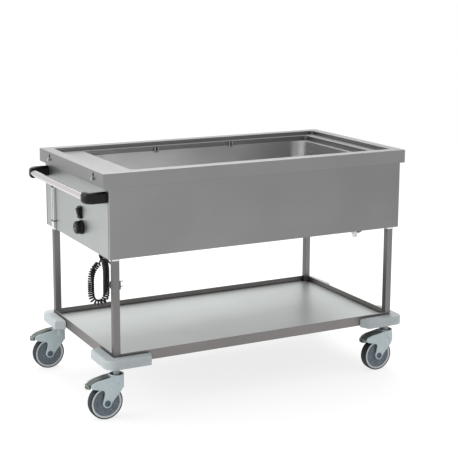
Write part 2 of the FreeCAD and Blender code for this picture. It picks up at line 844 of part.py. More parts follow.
def make_bracket(side):
    """A moulded elbow from the control panel to the end of the push bar."""
    half_b = bracket_width / 2
    half_h = bracket_height / 2
    corner = bracket_corner
    root = Vector(-casing_x - fit_gap, -bracket_y, handle_z)
    turn = Vector(handle_x, -bracket_y, handle_z)
    end = Vector(handle_x, -bracket_y + bracket_bend + bracket_end, handle_z)
    section = slab(-half_b, -half_h, half_b, half_h, corner, 0, 1).Faces
    flat = [face for face in section if face.CenterOfMass.z < 0.01][0]
    profile = flat.OuterWire
    profile.rotate(Vector(0, 0, 0), AXIS_Y, -90)
    profile.rotate(Vector(0, 0, 0), AXIS_X, 90)
    profile.translate(root)
    elbow = bent_path([root, turn, end], bracket_bend).makePipeShell([profile], True, False)
    end_rim = [edge for edge in elbow.Edges if edge.BoundBox.YMin > end.y - 0.01]
    elbow = elbow.makeFillet(bracket_end_radius, end_rim)
    socket = rod(handle_radius + fit_gap, handle_socket + 1, end + Vector(0, 1, 0), Vector(0, -1, 0))
    elbow = elbow.cut(socket)
    depth = handle_screw_length - panel_sheet + 1
    for step in (-handle_screw_spacing / 2, handle_screw_spacing / 2):
        start = root + Vector(1, 0, step)
        elbow = elbow.cut(rod(handle_screw_radius + fit_gap / 2, depth, start, Vector(-1, 0, 0)))
    if side > 0:
        elbow = mirrored(elbow, AXIS_Y)
    return elbow


def make_handle_screws():
    """The screws that hold the brackets, with their heads inside."""
    screws = []
    for y, z in bracket_screw_places():
        head = rod(handle_screw_head, handle_screw_radius, Vector(panel_inner_x, y, z), AXIS_X)
        shank = rod(handle_screw_radius, handle_screw_length, Vector(panel_inner_x + 1, y, z), Vector(-1, 0, 0))
        screws.append(join([head, shank]))
    return screws


# ----------------------------------------------------------------- controls
def make_thermostat():
    """The thermostat behind the panel, bored for the knob's shaft."""
    half = thermostat_width / 2
    front = panel_inner_x + fit_gap
    body = block(front, knob_y - half, knob_z - half, front + thermostat_depth, knob_y + half, knob_z + half)
    bore = rod(shaft_radius + running_gap, thermostat_depth - 8, Vector(front - 1, knob_y, knob_z), AXIS_X)
    return body.cut(bore)


def make_knob():
    """The control knob with its pointer ridge and its own shaft."""
    back = -casing_x - knob_gap
    middle = Vector(back, knob_y, knob_z)
    outwards = Vector(-1, 0, 0)
    skirt = rod(knob_radius, knob_skirt, middle, outwards)
    face_x = back - knob_depth
    grip = rod(knob_radius - 1.5, knob_depth, middle, outwards)
    brow = [edge for edge in grip.Edges if edge.BoundBox.XMax < face_x + 0.01]
    grip = grip.makeFillet(knob_dome_radius, brow)
    half_ridge = knob_radius - knob_dome_radius
    ridge = block(face_x - knob_ridge, knob_y - half_ridge, knob_z - knob_ridge_width / 2,
                  face_x + knob_dome_radius, knob_y + half_ridge, knob_z + knob_ridge_width / 2)
    tips = [edge for edge in ridge.Edges
            if edge.BoundBox.XMax < face_x - knob_ridge + 0.01 and edge.BoundBox.ZLength > knob_ridge_width - 0.1]
    ridge = ridge.makeFillet(knob_ridge, tips)
    shaft_length = knob_gap + panel_sheet + thermostat_depth - 12
    shaft = rod(shaft_radius, shaft_length + 4, middle - Vector(4, 0, 0), AXIS_X)
    return join([skirt, grip, ridge, shaft])


def make_switch_housing():
    """The switch's bezel and the body behind the panel."""
    half_w_out = switch_width / 2
    half_h_out = switch_height / 2
    half_w_in = half_w_out - switch_bezel_wall - fit_gap
    half_h_in = half_h_out - switch_bezel_wall - fit_gap
    face = -casing_x - fit_gap
    bezel = block(face - switch_bezel_depth, switch_y - half_w_out, switch_z - half_h_out,
                  face, switch_y + half_w_out, switch_z + half_h_out)
    corners = [edge for edge in bezel.Edges if edge.BoundBox.XLength > switch_bezel_depth - 0.1]
    bezel = bezel.makeFillet(4, corners)
    body = block(face - 1, switch_y - half_w_in, switch_z - half_h_in,
                 face + switch_body_depth, switch_y + half_w_in, switch_z + half_h_in)
    housing = join([bezel, body])
    hinge = rocker_hinge()
    pin_hole = rod(rocker_pin_radius + running_gap, switch_width, hinge - Vector(0, switch_width / 2, 0), AXIS_Y)
    return housing.cut(rocker_pocket(rocker_gap)).cut(pin_hole)


def rocker_hinge():
    """The middle of the rocker's hinge pin."""
    return Vector(-casing_x + rocker_hinge_depth, switch_y, switch_z)


def rocker_pocket(gap):
    """The room for the rocker inside the bezel."""
    half_w_in = switch_width / 2 - 2 * switch_bezel_wall + gap
    half_h_in = switch_height / 2 - 2 * switch_bezel_wall + gap
    x0 = -casing_x - switch_bezel_depth - 20
    x1 = -casing_x + switch_body_depth - 6
    return block(x0, switch_y - half_w_in, switch_z - half_h_in, x1, switch_y + half_w_in, switch_z + half_h_in)


def make_rocker():
    """The rocker, tipped so that its upper end stands out."""
    half_w_in = switch_width / 2 - 2 * switch_bezel_wall
    half_h_in = switch_height / 2 - 2 * switch_bezel_wall - rocker_end_room
    hinge = rocker_hinge()
    nose = -rocker_hinge_depth - rocker_proud
    dip = 2 * half_h_in * math.tan(math.radians(rocker_tilt))
    face = [
        (8, -6), (-2, -half_h_in), (nose + dip, -half_h_in), (nose + dip * 0.45, -half_h_in * 0.35),
        (nose + dip * 0.45, half_h_in * 0.35), (nose, half_h_in), (-2, half_h_in), (8, 6),
    ]
    solid = profile_xz([(hinge.x + px, hinge.z + pz) for px, pz in face], switch_y - half_w_in,
                       switch_y + half_w_in)
    pin_reach = half_w_in + rocker_gap + rocker_pin_hold
    pin = rod(rocker_pin_radius, 2 * pin_reach, hinge - Vector(0, pin_reach, 0), AXIS_Y)
    return join([solid, pin])


def make_guide_rail():
    """The bright upright channel on the control panel, open to the front."""
    face = -casing_x - fit_gap
    low = casing_z
    high = rail_top
    half = rail_width / 2
    rail = block(face - rail_depth, rail_y - half, low, face, rail_y + half, high)
    hollow = block(face - rail_depth + rail_wall, rail_y - half + rail_wall, low - 1,
                   face - rail_wall, rail_y + half - rail_wall, high + 1)
    slot = block(face - rail_depth - 1, rail_y - rail_slot / 2, rail_stop_z,
                 face - rail_wall - 1, rail_y + rail_slot / 2, high + 1)
    return rail.cut(hollow).cut(slot)


def make_rail_clips():
    """The black end clip and the stop clip on the guide rail."""
    face = -casing_x - fit_gap
    high = rail_top
    half = rail_width / 2
    pieces = []
    cap = block(face - rail_depth - 1.5, rail_y - half + rail_wall + fit_gap, high - rail_clip_height,
                face - rail_wall - fit_gap, rail_y + half - rail_wall - fit_gap, high + 2)
    lips = block(face - rail_depth - 0.001, rail_y - half, high - rail_clip_height - 1,
                 face - rail_depth + rail_wall + fit_gap, rail_y + half, high + fit_gap)
    neck = block(face - rail_depth - 1.5, rail_y - rail_slot / 2 + fit_gap, high - rail_clip_height,
                 face - rail_depth + 3, rail_y + rail_slot / 2 - fit_gap, high)
    pieces.append(join([cap.cut(lips), neck]))
    stop = block(face - rail_depth - 2, rail_y - half - 2, rail_stop_z - rail_stop_height,
                 face - fit_gap, rail_y + half + 2, rail_stop_z)
    room = block(face - rail_depth - fit_gap, rail_y - half - fit_gap, rail_stop_z - rail_stop_height - 1,
                 face + 1, rail_y + half + fit_gap, rail_stop_z + 1)
    pieces.append(stop.cut(room))
    return pieces


# -------------------------------------------------------------------- drain
def drain_path():
    """The waste pipe's path from the basin to below the casing."""
    top = Vector(drain_x, drain_y, well_floor_z)
    step_z = well_floor_z - well_sheet - drain_drop - drain_bend
    x_out = drain_x + drain_offset
    low = casing_z - drain_below
    return bent_path([top, Vector(drain_x, drain_y, step_z), Vector(x_out, drain_y, step_z),
                      Vector(x_out, drain_y, low)], drain_bend)


def make_drain_pipe():
    """The waste pipe with its flange on the basin's floor."""
    path = drain_path()
    pipe = swept_circle(path, drain_radius)
    top = Vector(drain_x, drain_y, well_floor_z)
    flange = rod(drain_flange_radius, drain_flange, top, AXIS_Z)
    pipe = join([pipe, flange])
    bore = swept_circle(path, drain_radius - drain_wall)
    mouth = rod(drain_radius - drain_wall, drain_flange + 1, top, AXIS_Z)
    return pipe.cut(bore).cut(mouth)


def valve_axis():
    """The place of the valve's centre line."""
    return drain_x + drain_offset


def valve_middle_z():
    """The height of the valve's ball."""
    return casing_z - drain_below + valve_overlap - valve_length / 2


def make_drain_valve():
    """The chromed ball valve with its hose spout."""
    high = casing_z - drain_below + valve_overlap
    low = high - valve_length
    socket = drain_radius + fit_gap + valve_socket_wall
    middle = (high + low) / 2
    body_points = [
        (spout_bore, low - spout_length), (spout_radius, low - spout_length), (spout_radius, low),
        (socket - 3, low), (valve_ball_radius, middle), (socket, high - valve_overlap - 2), (socket, high),
        (drain_radius + fit_gap, high), (drain_radius + fit_gap, high - valve_overlap - fit_gap),
        (spout_bore, high - valve_overlap - fit_gap),
    ]
    body = turned(body_points, Vector(valve_axis(), drain_y, 0), "z")
    stem_start = Vector(valve_axis(), drain_y - spout_bore - 2, middle)
    stem = rod(valve_stem_radius, valve_ball_radius - spout_bore - 2 + valve_stem_length, stem_start,
               Vector(0, -1, 0))
    return join([body, stem])


def make_drain_lever():
    """The lever on the valve's stem, turned level when the drain is shut."""
    middle = Vector(valve_axis(), drain_y - valve_ball_radius - valve_stem_length + lever_thickness + 2,
                    valve_middle_z())
    hub = rod(lever_hub_radius, lever_thickness, middle - Vector(0, 1, 0), Vector(0, -1, 0))
    y1 = middle.y - 1
    arm = block(middle.x, y1 - lever_thickness, middle.z - lever_width / 2,
                middle.x + lever_length, y1, middle.z + lever_width / 2)
    tips = [edge for edge in arm.Edges
            if edge.BoundBox.XMin > middle.x + lever_length - 0.01 and edge.BoundBox.YLength > lever_thickness - 0.1]
    arm = arm.makeFillet(lever_width / 2 - 1, tips)
    bore = rod(valve_stem_radius + running_gap, 4 * lever_thickness, middle + Vector(0, 2 * lever_thickness, 0),
               Vector(0, -1, 0))
    return join([hub, arm]).cut(bore)


# ------------------------------------------------------------------- inside
def make_heating_element():
    """The tubular heater clipped under the basin, in four runs."""
    z = well_floor_z - well_sheet - fit_gap - heater_radius
    x0 = well_x0 + heater_margin
    x1 = well_x1 - heater_margin
    edges = []
    lanes = [-3 * heater_bend, -heater_bend, heater_bend, 3 * heater_bend]
    for index, lane in enumerate(lanes):
        first, last = (x0, x1) if index % 2 == 0 else (x1, x0)
        start = Vector(first, lane, z)
        end = Vector(last, lane, z)
        edges.append(Part.LineSegment(start, end).toShape())
        if index < len(lanes) - 1:
            bulge = heater_bend if last > first else -heater_bend
            middle = Vector(last + bulge, lane + heater_bend, z)
            edges.append(Part.Arc(end, middle, Vector(last, lanes[index + 1], z)).toShape())
    return swept_circle(Part.Wire(edges), heater_radius)


def make_insulation_board():
    """The rigid insulating board on the bottom cover."""
    x0 = well_x0 + board_margin
    x1 = well_x1 - board_margin
    y = well_y - board_margin / 2
    return block(x0, -y, cover_top + fit_gap, x1, y, cover_top + fit_gap + board_thickness)


def make_terminal_box():
    """The terminal box over the cord's entry."""
    x0 = gland_x - cord_radius - 2
    y0 = gland_y - terminal_width / 2
    z0 = cover_top + fit_gap
    body = block(x0, y0, z0, x0 + terminal_length, y0 + terminal_width, z0 + terminal_height)
    room = block(x0 + 3, y0 + 3, z0 + 3, x0 + terminal_length - 3, y0 + terminal_width - 3,
                 z0 + terminal_height - 3)
    return body.cut(room).cut(rod(cord_radius + 1, 5, Vector(gland_x, gland_y, z0 - 1), AXIS_Z))


# --------------------------------------------------------------------- cord
def gland_tip_z():
    """The height at which the cord leaves the gland's boot."""
    return cover_z - gland_hex - gland_boot


def make_cable_gland():
    """The gland under the cover, with its tapered boot."""
    x, y = gland_x, gland_y
    nut = hexagon(gland_radius, cover_z - gland_hex, cover_z, x, y)
    boot = Part.makeCone(gland_boot_tip, gland_radius - 2, gland_boot, Vector(x, y, gland_tip_z()), AXIS_Z)
    gland = join([nut, boot])
    return gland.cut(rod(cord_radius + fit_gap, gland_hex + 6, Vector(x, y, gland_tip_z() + gland_boot - 6), AXIS_Z))


def cord_lead():
    """How far the cord runs straight out of the gland and into the plug."""
    return 2 * cord_radius


def hung(inward, beside, drop):
    """A point inward from the control panel, beside the gland and below the casing."""
    return Vector(-casing_x + inward, gland_y - beside, casing_z - drop)


def cord_route():
    """The points that steer the cord's middle line, from the gland to the plug."""
    radius = (loop_right_x - loop_left_x) / 2
    middle_x = loop_left_x + radius
    middle_z = loop_low_z + radius
    turn = math.radians(45)
    reach = radius / math.cos(turn / 2)
    route = [
        Vector(gland_x, gland_y, gland_tip_z() - cord_lead()),
        Vector(gland_x, gland_y, casing_z - 43),
        hung(10, 1, 54),
        hung(-7, 2, 70),
        hung(-17, 4, 96),
        hung(-18, 6, 129),
    ]
    for step in range(5):
        angle = step * turn
        y = gland_y - 8 - 2 * step
        route.append(Vector(middle_x - reach * math.cos(angle), y, middle_z - reach * math.sin(angle)))
    plug_x = plug_face_x - plug_depth / 2
    route += [
        hung(36, 17, 129),
        hung(36, 19, 94),
        hung(35, 21, 62),
        hung(28, 28, 34),
        hung(18, 44, 15),
        hung(14, 65, 13),
        hung(22, 82, 23),
        Vector(plug_x - 2, plug_y, casing_z - 39),
        Vector(plug_x, plug_y, plug_z + plug_radius + plug_neck_length + cord_lead()),
    ]
    return route


def middle_line(points):
    """A smooth line of second degree steered by the points."""
    curve = Part.BSplineCurve()
    count = len(points)
    knots = list(range(count - 1))
    multiplicities = [3] + [1] * (count - 3) + [3]
    curve.buildFromPolesMultsKnots(points, multiplicities, knots, False, 2)
    return curve


def line_frames(curve, samples):
    """Lengths, places, directions and steady cross directions along a line."""
    first = curve.FirstParameter
    last = curve.LastParameter
    frames = []
    across = Vector(0, 1, 0)
    travelled = 0.0
    before = None
    for index in range(samples + 1):
        parameter = first + (last - first) * index / samples
        place = curve.value(parameter)
        direction = Vector(*curve.tangent(parameter)[0]).normalize()
        across = (across - direction * across.dot(direction)).normalize()
        if before is not None:
            travelled += (place - before).Length
        frames.append((travelled, place, direction, Vector(across)))
        before = place
    return frames


def place_between(frames, length):
    """The frame before a length along the line, and the share of the step after it."""
    low = 0
    high = len(frames) - 1
    while high - low > 1:
        middle = (low + high) // 2
        if frames[middle][0] < length:
            low = middle
        else:
            high = middle
    return low, (length - frames[low][0]) / (frames[high][0] - frames[low][0])


def frame_at(frames, length):
    """The place and the two cross directions at a length along the line."""
    low, share = place_between(frames, length)
    high = low + 1
    place = frames[low][1] * (1 - share) + frames[high][1] * share
    direction = (frames[low][2] * (1 - share) + frames[high][2] * share).normalize()
    across = frames[low][3] * (1 - share) + frames[high][3] * share
    across = (across - direction * across.dot(direction)).normalize()
    return place, across, direction.cross(across)


def turned_along(frames, span):
    """The curl's angle at each frame of the middle line.

    Neighbouring curls lie one spacing apart on the inner side of a bend, and
    so they spread on its outer side. The rate grows and fades over the ramps.
    """
    angles = [0.0]
    for before, here in zip(frames[:-1], frames[1:]):
        step = here[0] - before[0]
        bend = before[2].getAngle(here[2]) / step
        rate = 2 * math.pi * (1 - curl_radius * bend) / curl_spacing
        angles.append(angles[-1] + rate * step * ramp_at(here[0] - step / 2, span) ** 2)
    return angles


def ramp_at(length, span):
    """How far the curl has grown, from 0 to 1, at a length along the curled stretch."""
    return min(max(min(length, span - length) / curl_ramp, 0.0), 1.0)


def turned_by(frames, angles, length):
    """The angle of the curl at a length along the middle line."""
    low, share = place_between(frames, length)
    return angles[low] * (1 - share) + angles[low + 1] * share


def curled_point(frames, angles, length, span):
    """A point of the cord: the middle line, plus the curl that grows and fades."""
    place, across, upward = frame_at(frames, length)
    ramp = ramp_at(length, span)
    radius = curl_radius * (3 * ramp ** 2 - 2 * ramp ** 3)
    angle = turned_by(frames, angles, length)
    return place + across * (radius * math.cos(angle)) + upward * (radius * math.sin(angle))


def cord_stations(frames, angles, span):
    """Lengths along the middle line, one for each quarter turn of the curl."""
    quarters = round(angles[-1] / (math.pi / 2))
    stations = []
    low = 0.0
    for index in range(quarters + 1):
        goal = angles[-1] * index / quarters
        high = span
        while high - low > 0.0001:
            middle = (low + high) / 2
            if turned_by(frames, angles, middle) < goal:
                low = middle
            else:
                high = middle
        stations.append(high)
    steps = 7
    stations += [span + cord_tail * (index + 1) / steps for index in range(steps)]
    stations[0] = 0.0
    return stations


def arc_middle(start, way, end):
    """The middle of the arc from a start, in a direction, to an end."""
    chord = end - start
    along = Vector(chord).normalize()
    side = way - along * way.dot(along)
    middle = (start + end) / 2
    if side.Length > 1e-6:
        middle += side.normalize() * (chord.Length / 2 * math.tan(way.getAngle(along) / 2))
    return middle


def arc_edge(start, middle, end):
    """An arc through three points, or a line where they are in line."""
    if (middle - (start + end) / 2).Length < 1e-6:
        return Part.LineSegment(start, end).toShape()
    return Part.Arc(start, middle, end).toShape()


def biarc(start, start_way, end, end_way):
    """Two arcs that join two points, tangent to the two directions."""
    chord = end - start
    spread = 2 * (1 - start_way.dot(end_way))
    along = chord.dot(start_way + end_way)
    if spread > 1e-9:
        reach = (math.sqrt(along ** 2 + spread * chord.dot(chord)) - along) / spread
    else:
        reach = chord.dot(chord) / (4 * chord.dot(end_way))
    joint = (start + end + (start_way - end_way) * reach) / 2
    return [
        arc_edge(start, arc_middle(start, start_way, joint), joint),
        arc_edge(joint, arc_middle(end, end_way * -1, joint), end),
    ]


def cord_edges():
    """The cord's line: a straight lead, curls of quarter turns, a tail, a lead."""
    frames = line_frames(middle_line(cord_route()), 2400)
    total = frames[-1][0]
    span = total - cord_tail
    angles = turned_along(frames, span)
    stations = cord_stations(frames, angles, span)
    delta = 0.02
    points = []
    ways = []
    for station in stations:
        low = max(station - delta, 0.0)
        high = min(station + delta, total)
        points.append(curled_point(frames, angles, station, span))
        way = curled_point(frames, angles, high, span) - curled_point(frames, angles, low, span)
        ways.append(way.normalize())
    down = Vector(0, 0, -1)
    ways[0] = down
    ways[-1] = down
    edges = [Part.LineSegment(points[0] - down * cord_lead(), points[0]).toShape()]
    for index in range(len(points) - 1):
        edges += biarc(points[index], ways[index], points[index + 1], ways[index + 1])
    edges.append(Part.LineSegment(points[-1], points[-1] + down * cord_lead()).toShape())
    return edges, angles[-1] / (2 * math.pi)


def least_gap(edges):
    """The least gap of the cord to itself, measured on points of its line."""
    points = []
    walked = []
    travelled = 0.0
    for edge in edges:
        for point in edge.discretize(9)[1:]:
            if points:
                travelled += (point - points[-1]).Length
            points.append(point)
            walked.append(travelled)
    size = 4 * cord_radius
    cells = {}
    for index, point in enumerate(points):
        key = (int(point.x // size), int(point.y // size), int(point.z // size))
        cells.setdefault(key, []).append(index)
    least = size
    for key, members in cells.items():
        near = []
        for shift in range(27):
            beside = (key[0] + shift % 3 - 1, key[1] + shift // 3 % 3 - 1, key[2] + shift // 9 - 1)
            near += cells.get(beside, [])
        for first in members:
            for second in near:
                if walked[second] - walked[first] > 6 * cord_radius:
                    least = min(least, (points[second] - points[first]).Length)
    return least - 2 * cord_radius


def make_supply_cord():
    """The curly supply cord, one unbroken tube from the gland to the plug."""
    edges, turns = cord_edges()
    wire = Part.Wire(edges)
    cord = swept_circle(wire, cord_radius)
    radii = [edge.Curve.Radius for edge in edges if hasattr(edge.Curve, "Radius")]
    print("cord length", round(wire.Length, 1), "curls", round(turns, 1))
    print("cord radii", [round(radius, 1) for radius in sorted(radii)[::16]])
    print("cord's tail radii", [round(radius, 1) for radius in radii[-8:]])
    print("least gap of the cord to itself", round(least_gap(edges), 2))
    print("volume over section times length", round(cord.Volume / (math.pi * cord_radius ** 2 * wire.Length), 4))
    return cord


def make_plug_body():
    """The angled plug, with its tapered neck up to the cord."""
    x1 = plug_face_x
    x0 = x1 - plug_depth
    disc = rod(plug_radius, plug_depth, Vector(x0, plug_y, plug_z), AXIS_X)
    rims = [edge for edge in disc.Edges if edge.Length > 2 * plug_radius and abs(edge.CenterOfMass.x - x0) < 0.1]
    disc = disc.makeFillet(5, rims)
    plug_x = x1 - plug_depth / 2
    neck = Part.makeCone(plug_neck_radius, gland_boot_tip, plug_neck_length + 4,
                         Vector(plug_x, plug_y, plug_z + plug_radius - 4), AXIS_Z)
    return join([disc, neck])


def make_plug_pins():
    """The two contact pins of the plug."""
    pins = []
    for step in (-plug_pin_spacing / 2, plug_pin_spacing / 2):
        start = Vector(plug_face_x, plug_y, plug_z + step)
        pins.append(rod(plug_pin_radius, plug_pin_length, start, AXIS_X))
    return pins


def make_plug_holder():
    """The moulded bracket on the post in which the plug is parked."""
    back = holder_back
    x0 = -post_x - post_size / 2 + 2
    x1 = plug_face_x + fit_gap + holder_sheet
    arm = block(x0, back, plug_z - holder_half, x1, back + holder_sheet, plug_z + holder_half)
    plate = block(x1 - holder_sheet, back, plug_z - holder_half, x1, plug_y + holder_half, plug_z + holder_half)
    holder = join([arm, plate])
    for step in (-plug_pin_spacing / 2, plug_pin_spacing / 2):
        start = Vector(plug_face_x - 1, plug_y, plug_z + step)
        holder = holder.cut(rod(plug_pin_radius + holder_pin_gap, 2 * holder_sheet + 4, start, AXIS_X))
    return holder


# --------------------------------------------------------------------- main
def main():
    """Make every piece and write one file for each node."""
    os.makedirs("parts", exist_ok=True)
    export("top_frame", make_top_frame())
    export("well_basin", make_well_basin())
    export("crossbar_pins", make_crossbar_pins())
    export("hanging_studs", make_hanging_studs())
    export("front_panel", long_panel(-1))
    export("rear_panel", long_panel(1))
    export("control_panel", make_control_panel())
    export("end_panel", end_panel(1))
    export("bottom_cover", make_bottom_cover())
    export("lower_shelf", make_lower_shelf())
    corners = {"front_left": (-1, -1), "front_right": (1, -1), "rear_left": (-1, 1), "rear_right": (1, 1)}
    stems = []
    for name, (sx, sy) in corners.items():
        x = sx * post_x
        y = sy * post_y
        export(f"post_{name}", make_post(x, y))
        export(f"bumper_{name}", make_bumper(sx, sy))
        stems.append(make_castor_stem(x, y))
        export(f"castor_fork_{name}", make_fork(x, y))
        export(f"castor_axle_{name}", make_axle(x, y))
        export(f"brake_pedal_{name}", make_pedal(x, y))
        export(f"castor_wheel_{name}", make_wheel(x, y))
        export(f"castor_tyre_{name}", make_tyre(x, y))
    export("castor_stems", stems)
    export("handle_tube", make_handle_tube())
    export("handle_bracket_front", make_bracket(-1))
    export("handle_bracket_rear", make_bracket(1))
    export("handle_screws", make_handle_screws())
    export("thermostat", make_thermostat())
    export("thermostat_knob", make_knob())
    export("switch_housing", make_switch_housing())
    export("switch_rocker", make_rocker())
    export("guide_rail", make_guide_rail())
    export("rail_clips", make_rail_clips())
    export("drain_pipe", make_drain_pipe())
    export("drain_valve", make_drain_valve())
    export("drain_lever", make_drain_lever())
    export("heating_element", make_heating_element())
    export("insulation_board", make_insulation_board())
    export("terminal_box", make_terminal_box())
    export("cable_gland", make_cable_gland())
    export("supply_cord", make_supply_cord())
    export("plug_body", make_plug_body())
    export("plug_pins", make_plug_pins())
    export("plug_holder", make_plug_holder())


main()
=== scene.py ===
"""Looks of a heated serving trolley: a steel water well on an open, wheeled base.

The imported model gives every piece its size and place. The classes below dress
its sheet metal, handle and bumpers, and build the castors, controls, strainer,
gland, plug and curly cord as finished pieces in the same places. Units are
metres, +Z up.
"""

import json
import logging
import math
from dataclasses import dataclass, field
from enum import Enum
from typing import Any

import bmesh
import bpy
import numpy as np
from mathutils import Matrix, Vector

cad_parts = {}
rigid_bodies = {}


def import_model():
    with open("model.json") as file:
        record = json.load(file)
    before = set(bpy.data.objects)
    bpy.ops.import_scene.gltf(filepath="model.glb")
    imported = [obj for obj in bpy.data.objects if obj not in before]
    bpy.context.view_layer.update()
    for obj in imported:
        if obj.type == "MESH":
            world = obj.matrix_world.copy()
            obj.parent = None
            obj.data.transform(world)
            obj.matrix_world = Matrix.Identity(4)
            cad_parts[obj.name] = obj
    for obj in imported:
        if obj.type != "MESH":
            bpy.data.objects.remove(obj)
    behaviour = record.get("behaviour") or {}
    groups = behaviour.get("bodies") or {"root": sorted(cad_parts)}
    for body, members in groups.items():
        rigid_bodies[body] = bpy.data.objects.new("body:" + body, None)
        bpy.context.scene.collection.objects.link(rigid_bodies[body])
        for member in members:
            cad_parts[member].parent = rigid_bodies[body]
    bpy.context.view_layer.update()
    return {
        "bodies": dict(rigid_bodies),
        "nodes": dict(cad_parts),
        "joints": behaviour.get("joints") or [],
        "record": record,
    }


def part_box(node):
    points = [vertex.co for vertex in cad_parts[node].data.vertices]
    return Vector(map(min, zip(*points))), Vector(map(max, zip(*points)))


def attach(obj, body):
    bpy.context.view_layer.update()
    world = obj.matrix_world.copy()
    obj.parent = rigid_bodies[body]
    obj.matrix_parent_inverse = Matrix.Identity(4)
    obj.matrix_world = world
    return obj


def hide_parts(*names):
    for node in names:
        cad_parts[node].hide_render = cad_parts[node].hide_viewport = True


LOG = logging.getLogger("trolley")
MM = 0.001
IMAGE_SIDE = 458
CORNERS = ("front_left", "front_right", "rear_left", "rear_right")


# ------------------------------------------------------------------ materials
def linear(code: str) -> tuple[float, float, float, float]:
    """Turn an sRGB hex colour into linear light.

    Args:
        code: Six hex digits after a number sign.

    Returns:
        Red, green, blue and an alpha of one.
    """
    parts = [int(code[i:i + 2], 16) / 255 for i in (1, 3, 5)]
    red, green, blue = (
        p / 12.92 if p <= 0.04045 else ((p + 0.055) / 1.055) ** 2.4 for p in parts
    )
    return red, green, blue, 1.0


def add_node(
    tree: bpy.types.NodeTree,
    kind: str,
    values: dict[Any, Any] | None = None,
    links: dict[Any, bpy.types.NodeSocket] | None = None,
    **settings: Any,
) -> bpy.types.Node:
    """Add a node with its settings, input values and links.

    Args:
        tree: The node tree that gets the node.
        kind: The node's type name.
        values: Input socket name or number to its value.
        links: Input socket name or number to the output that feeds it.
        settings: Properties of the node itself.

    Returns:
        The new node.
    """
    node = tree.nodes.new(kind)
    for name, value in settings.items():
        setattr(node, name, value)
    for socket, value in (values or {}).items():
        node.inputs[socket].default_value = value
    for socket, source in (links or {}).items():
        tree.links.new(source, node.inputs[socket])
    return node


def blank_material(
    name: str,
) -> tuple[bpy.types.Material, bpy.types.NodeTree, bpy.types.Node, bpy.types.Node]:
    """Make an empty material.

    Args:
        name: The material's name.

    Returns:
        The material, its node tree, its surface shader and its output node.
    """
    material = bpy.data.materials.new(name)
    material.use_nodes = True
    tree = material.node_tree
    tree.nodes.clear()
    shader = tree.nodes.new("ShaderNodeBsdfPrincipled")
    output = add_node(tree, "ShaderNodeOutputMaterial", links={"Surface": shader.outputs["BSDF"]})
    return material, tree, shader, output


def scaled_tone(
    tree: bpy.types.NodeTree,
    ramps: list[tuple[bpy.types.NodeSocket, float, float, float, float]],
) -> bpy.types.NodeSocket:
    """Multiply the factors that lighten and darken a tone.

    Args:
        tree: The node tree.
        ramps: For each factor the output that is read, its low and high
            reading, and the factor at each of the two.

    Returns:
        The output that carries the product.
    """
    product = None
    for source, low, high, at_low, at_high in ramps:
        ramp = {"From Min": low, "From Max": high, "To Min": at_low, "To Max": at_high}
        factor = add_node(tree, "ShaderNodeMapRange", ramp, {"Value": source}).outputs["Result"]
        if product is not None:
            pair = {0: product, 1: factor}
            factor = add_node(tree, "ShaderNodeMath", links=pair, operation="MULTIPLY").outputs["Value"]
        product = factor
    return product


def join_surface(
    tree: bpy.types.NodeTree,
    shader: bpy.types.Node,
    tint: bpy.types.Node,
    gloss: tuple[bpy.types.NodeSocket, float, float],
    relief: tuple[bpy.types.NodeSocket, float, float] | None,
    constants: dict[str, float],
) -> None:
    """Feed a surface shader with its tint, gloss and relief.

    Args:
        tree: The node tree.
        shader: Its surface shader.
        tint: The node that gives the colour.
        gloss: The output that varies the roughness, and the roughness at 0 and at 1.
        relief: The output that gives the height, the bump's strength and its depth.
        constants: Values of the shader's other sockets.
    """
    source, smooth, rough = gloss
    level = add_node(tree, "ShaderNodeMapRange", {"To Min": smooth, "To Max": rough}, {"Value": source})
    tree.links.new(tint.outputs["Vector"], shader.inputs["Base Color"])
    tree.links.new(level.outputs["Result"], shader.inputs["Roughness"])
    if relief:
        height, strength, depth = relief
        bump = add_node(tree, "ShaderNodeBump", {"Strength": strength, "Distance": depth}, {"Height": height})
        tree.links.new(bump.outputs["Normal"], shader.inputs["Normal"])
    for socket, value in constants.items():
        shader.inputs[socket].default_value = value


class Grain(Enum):
    """The way in which a steel sheet was brushed."""

    ALONG_X = (1.0, 0.0, 0.0)
    ALONG_Y = (0.0, 1.0, 0.0)
    ALONG_Z = (0.0, 0.0, 1.0)


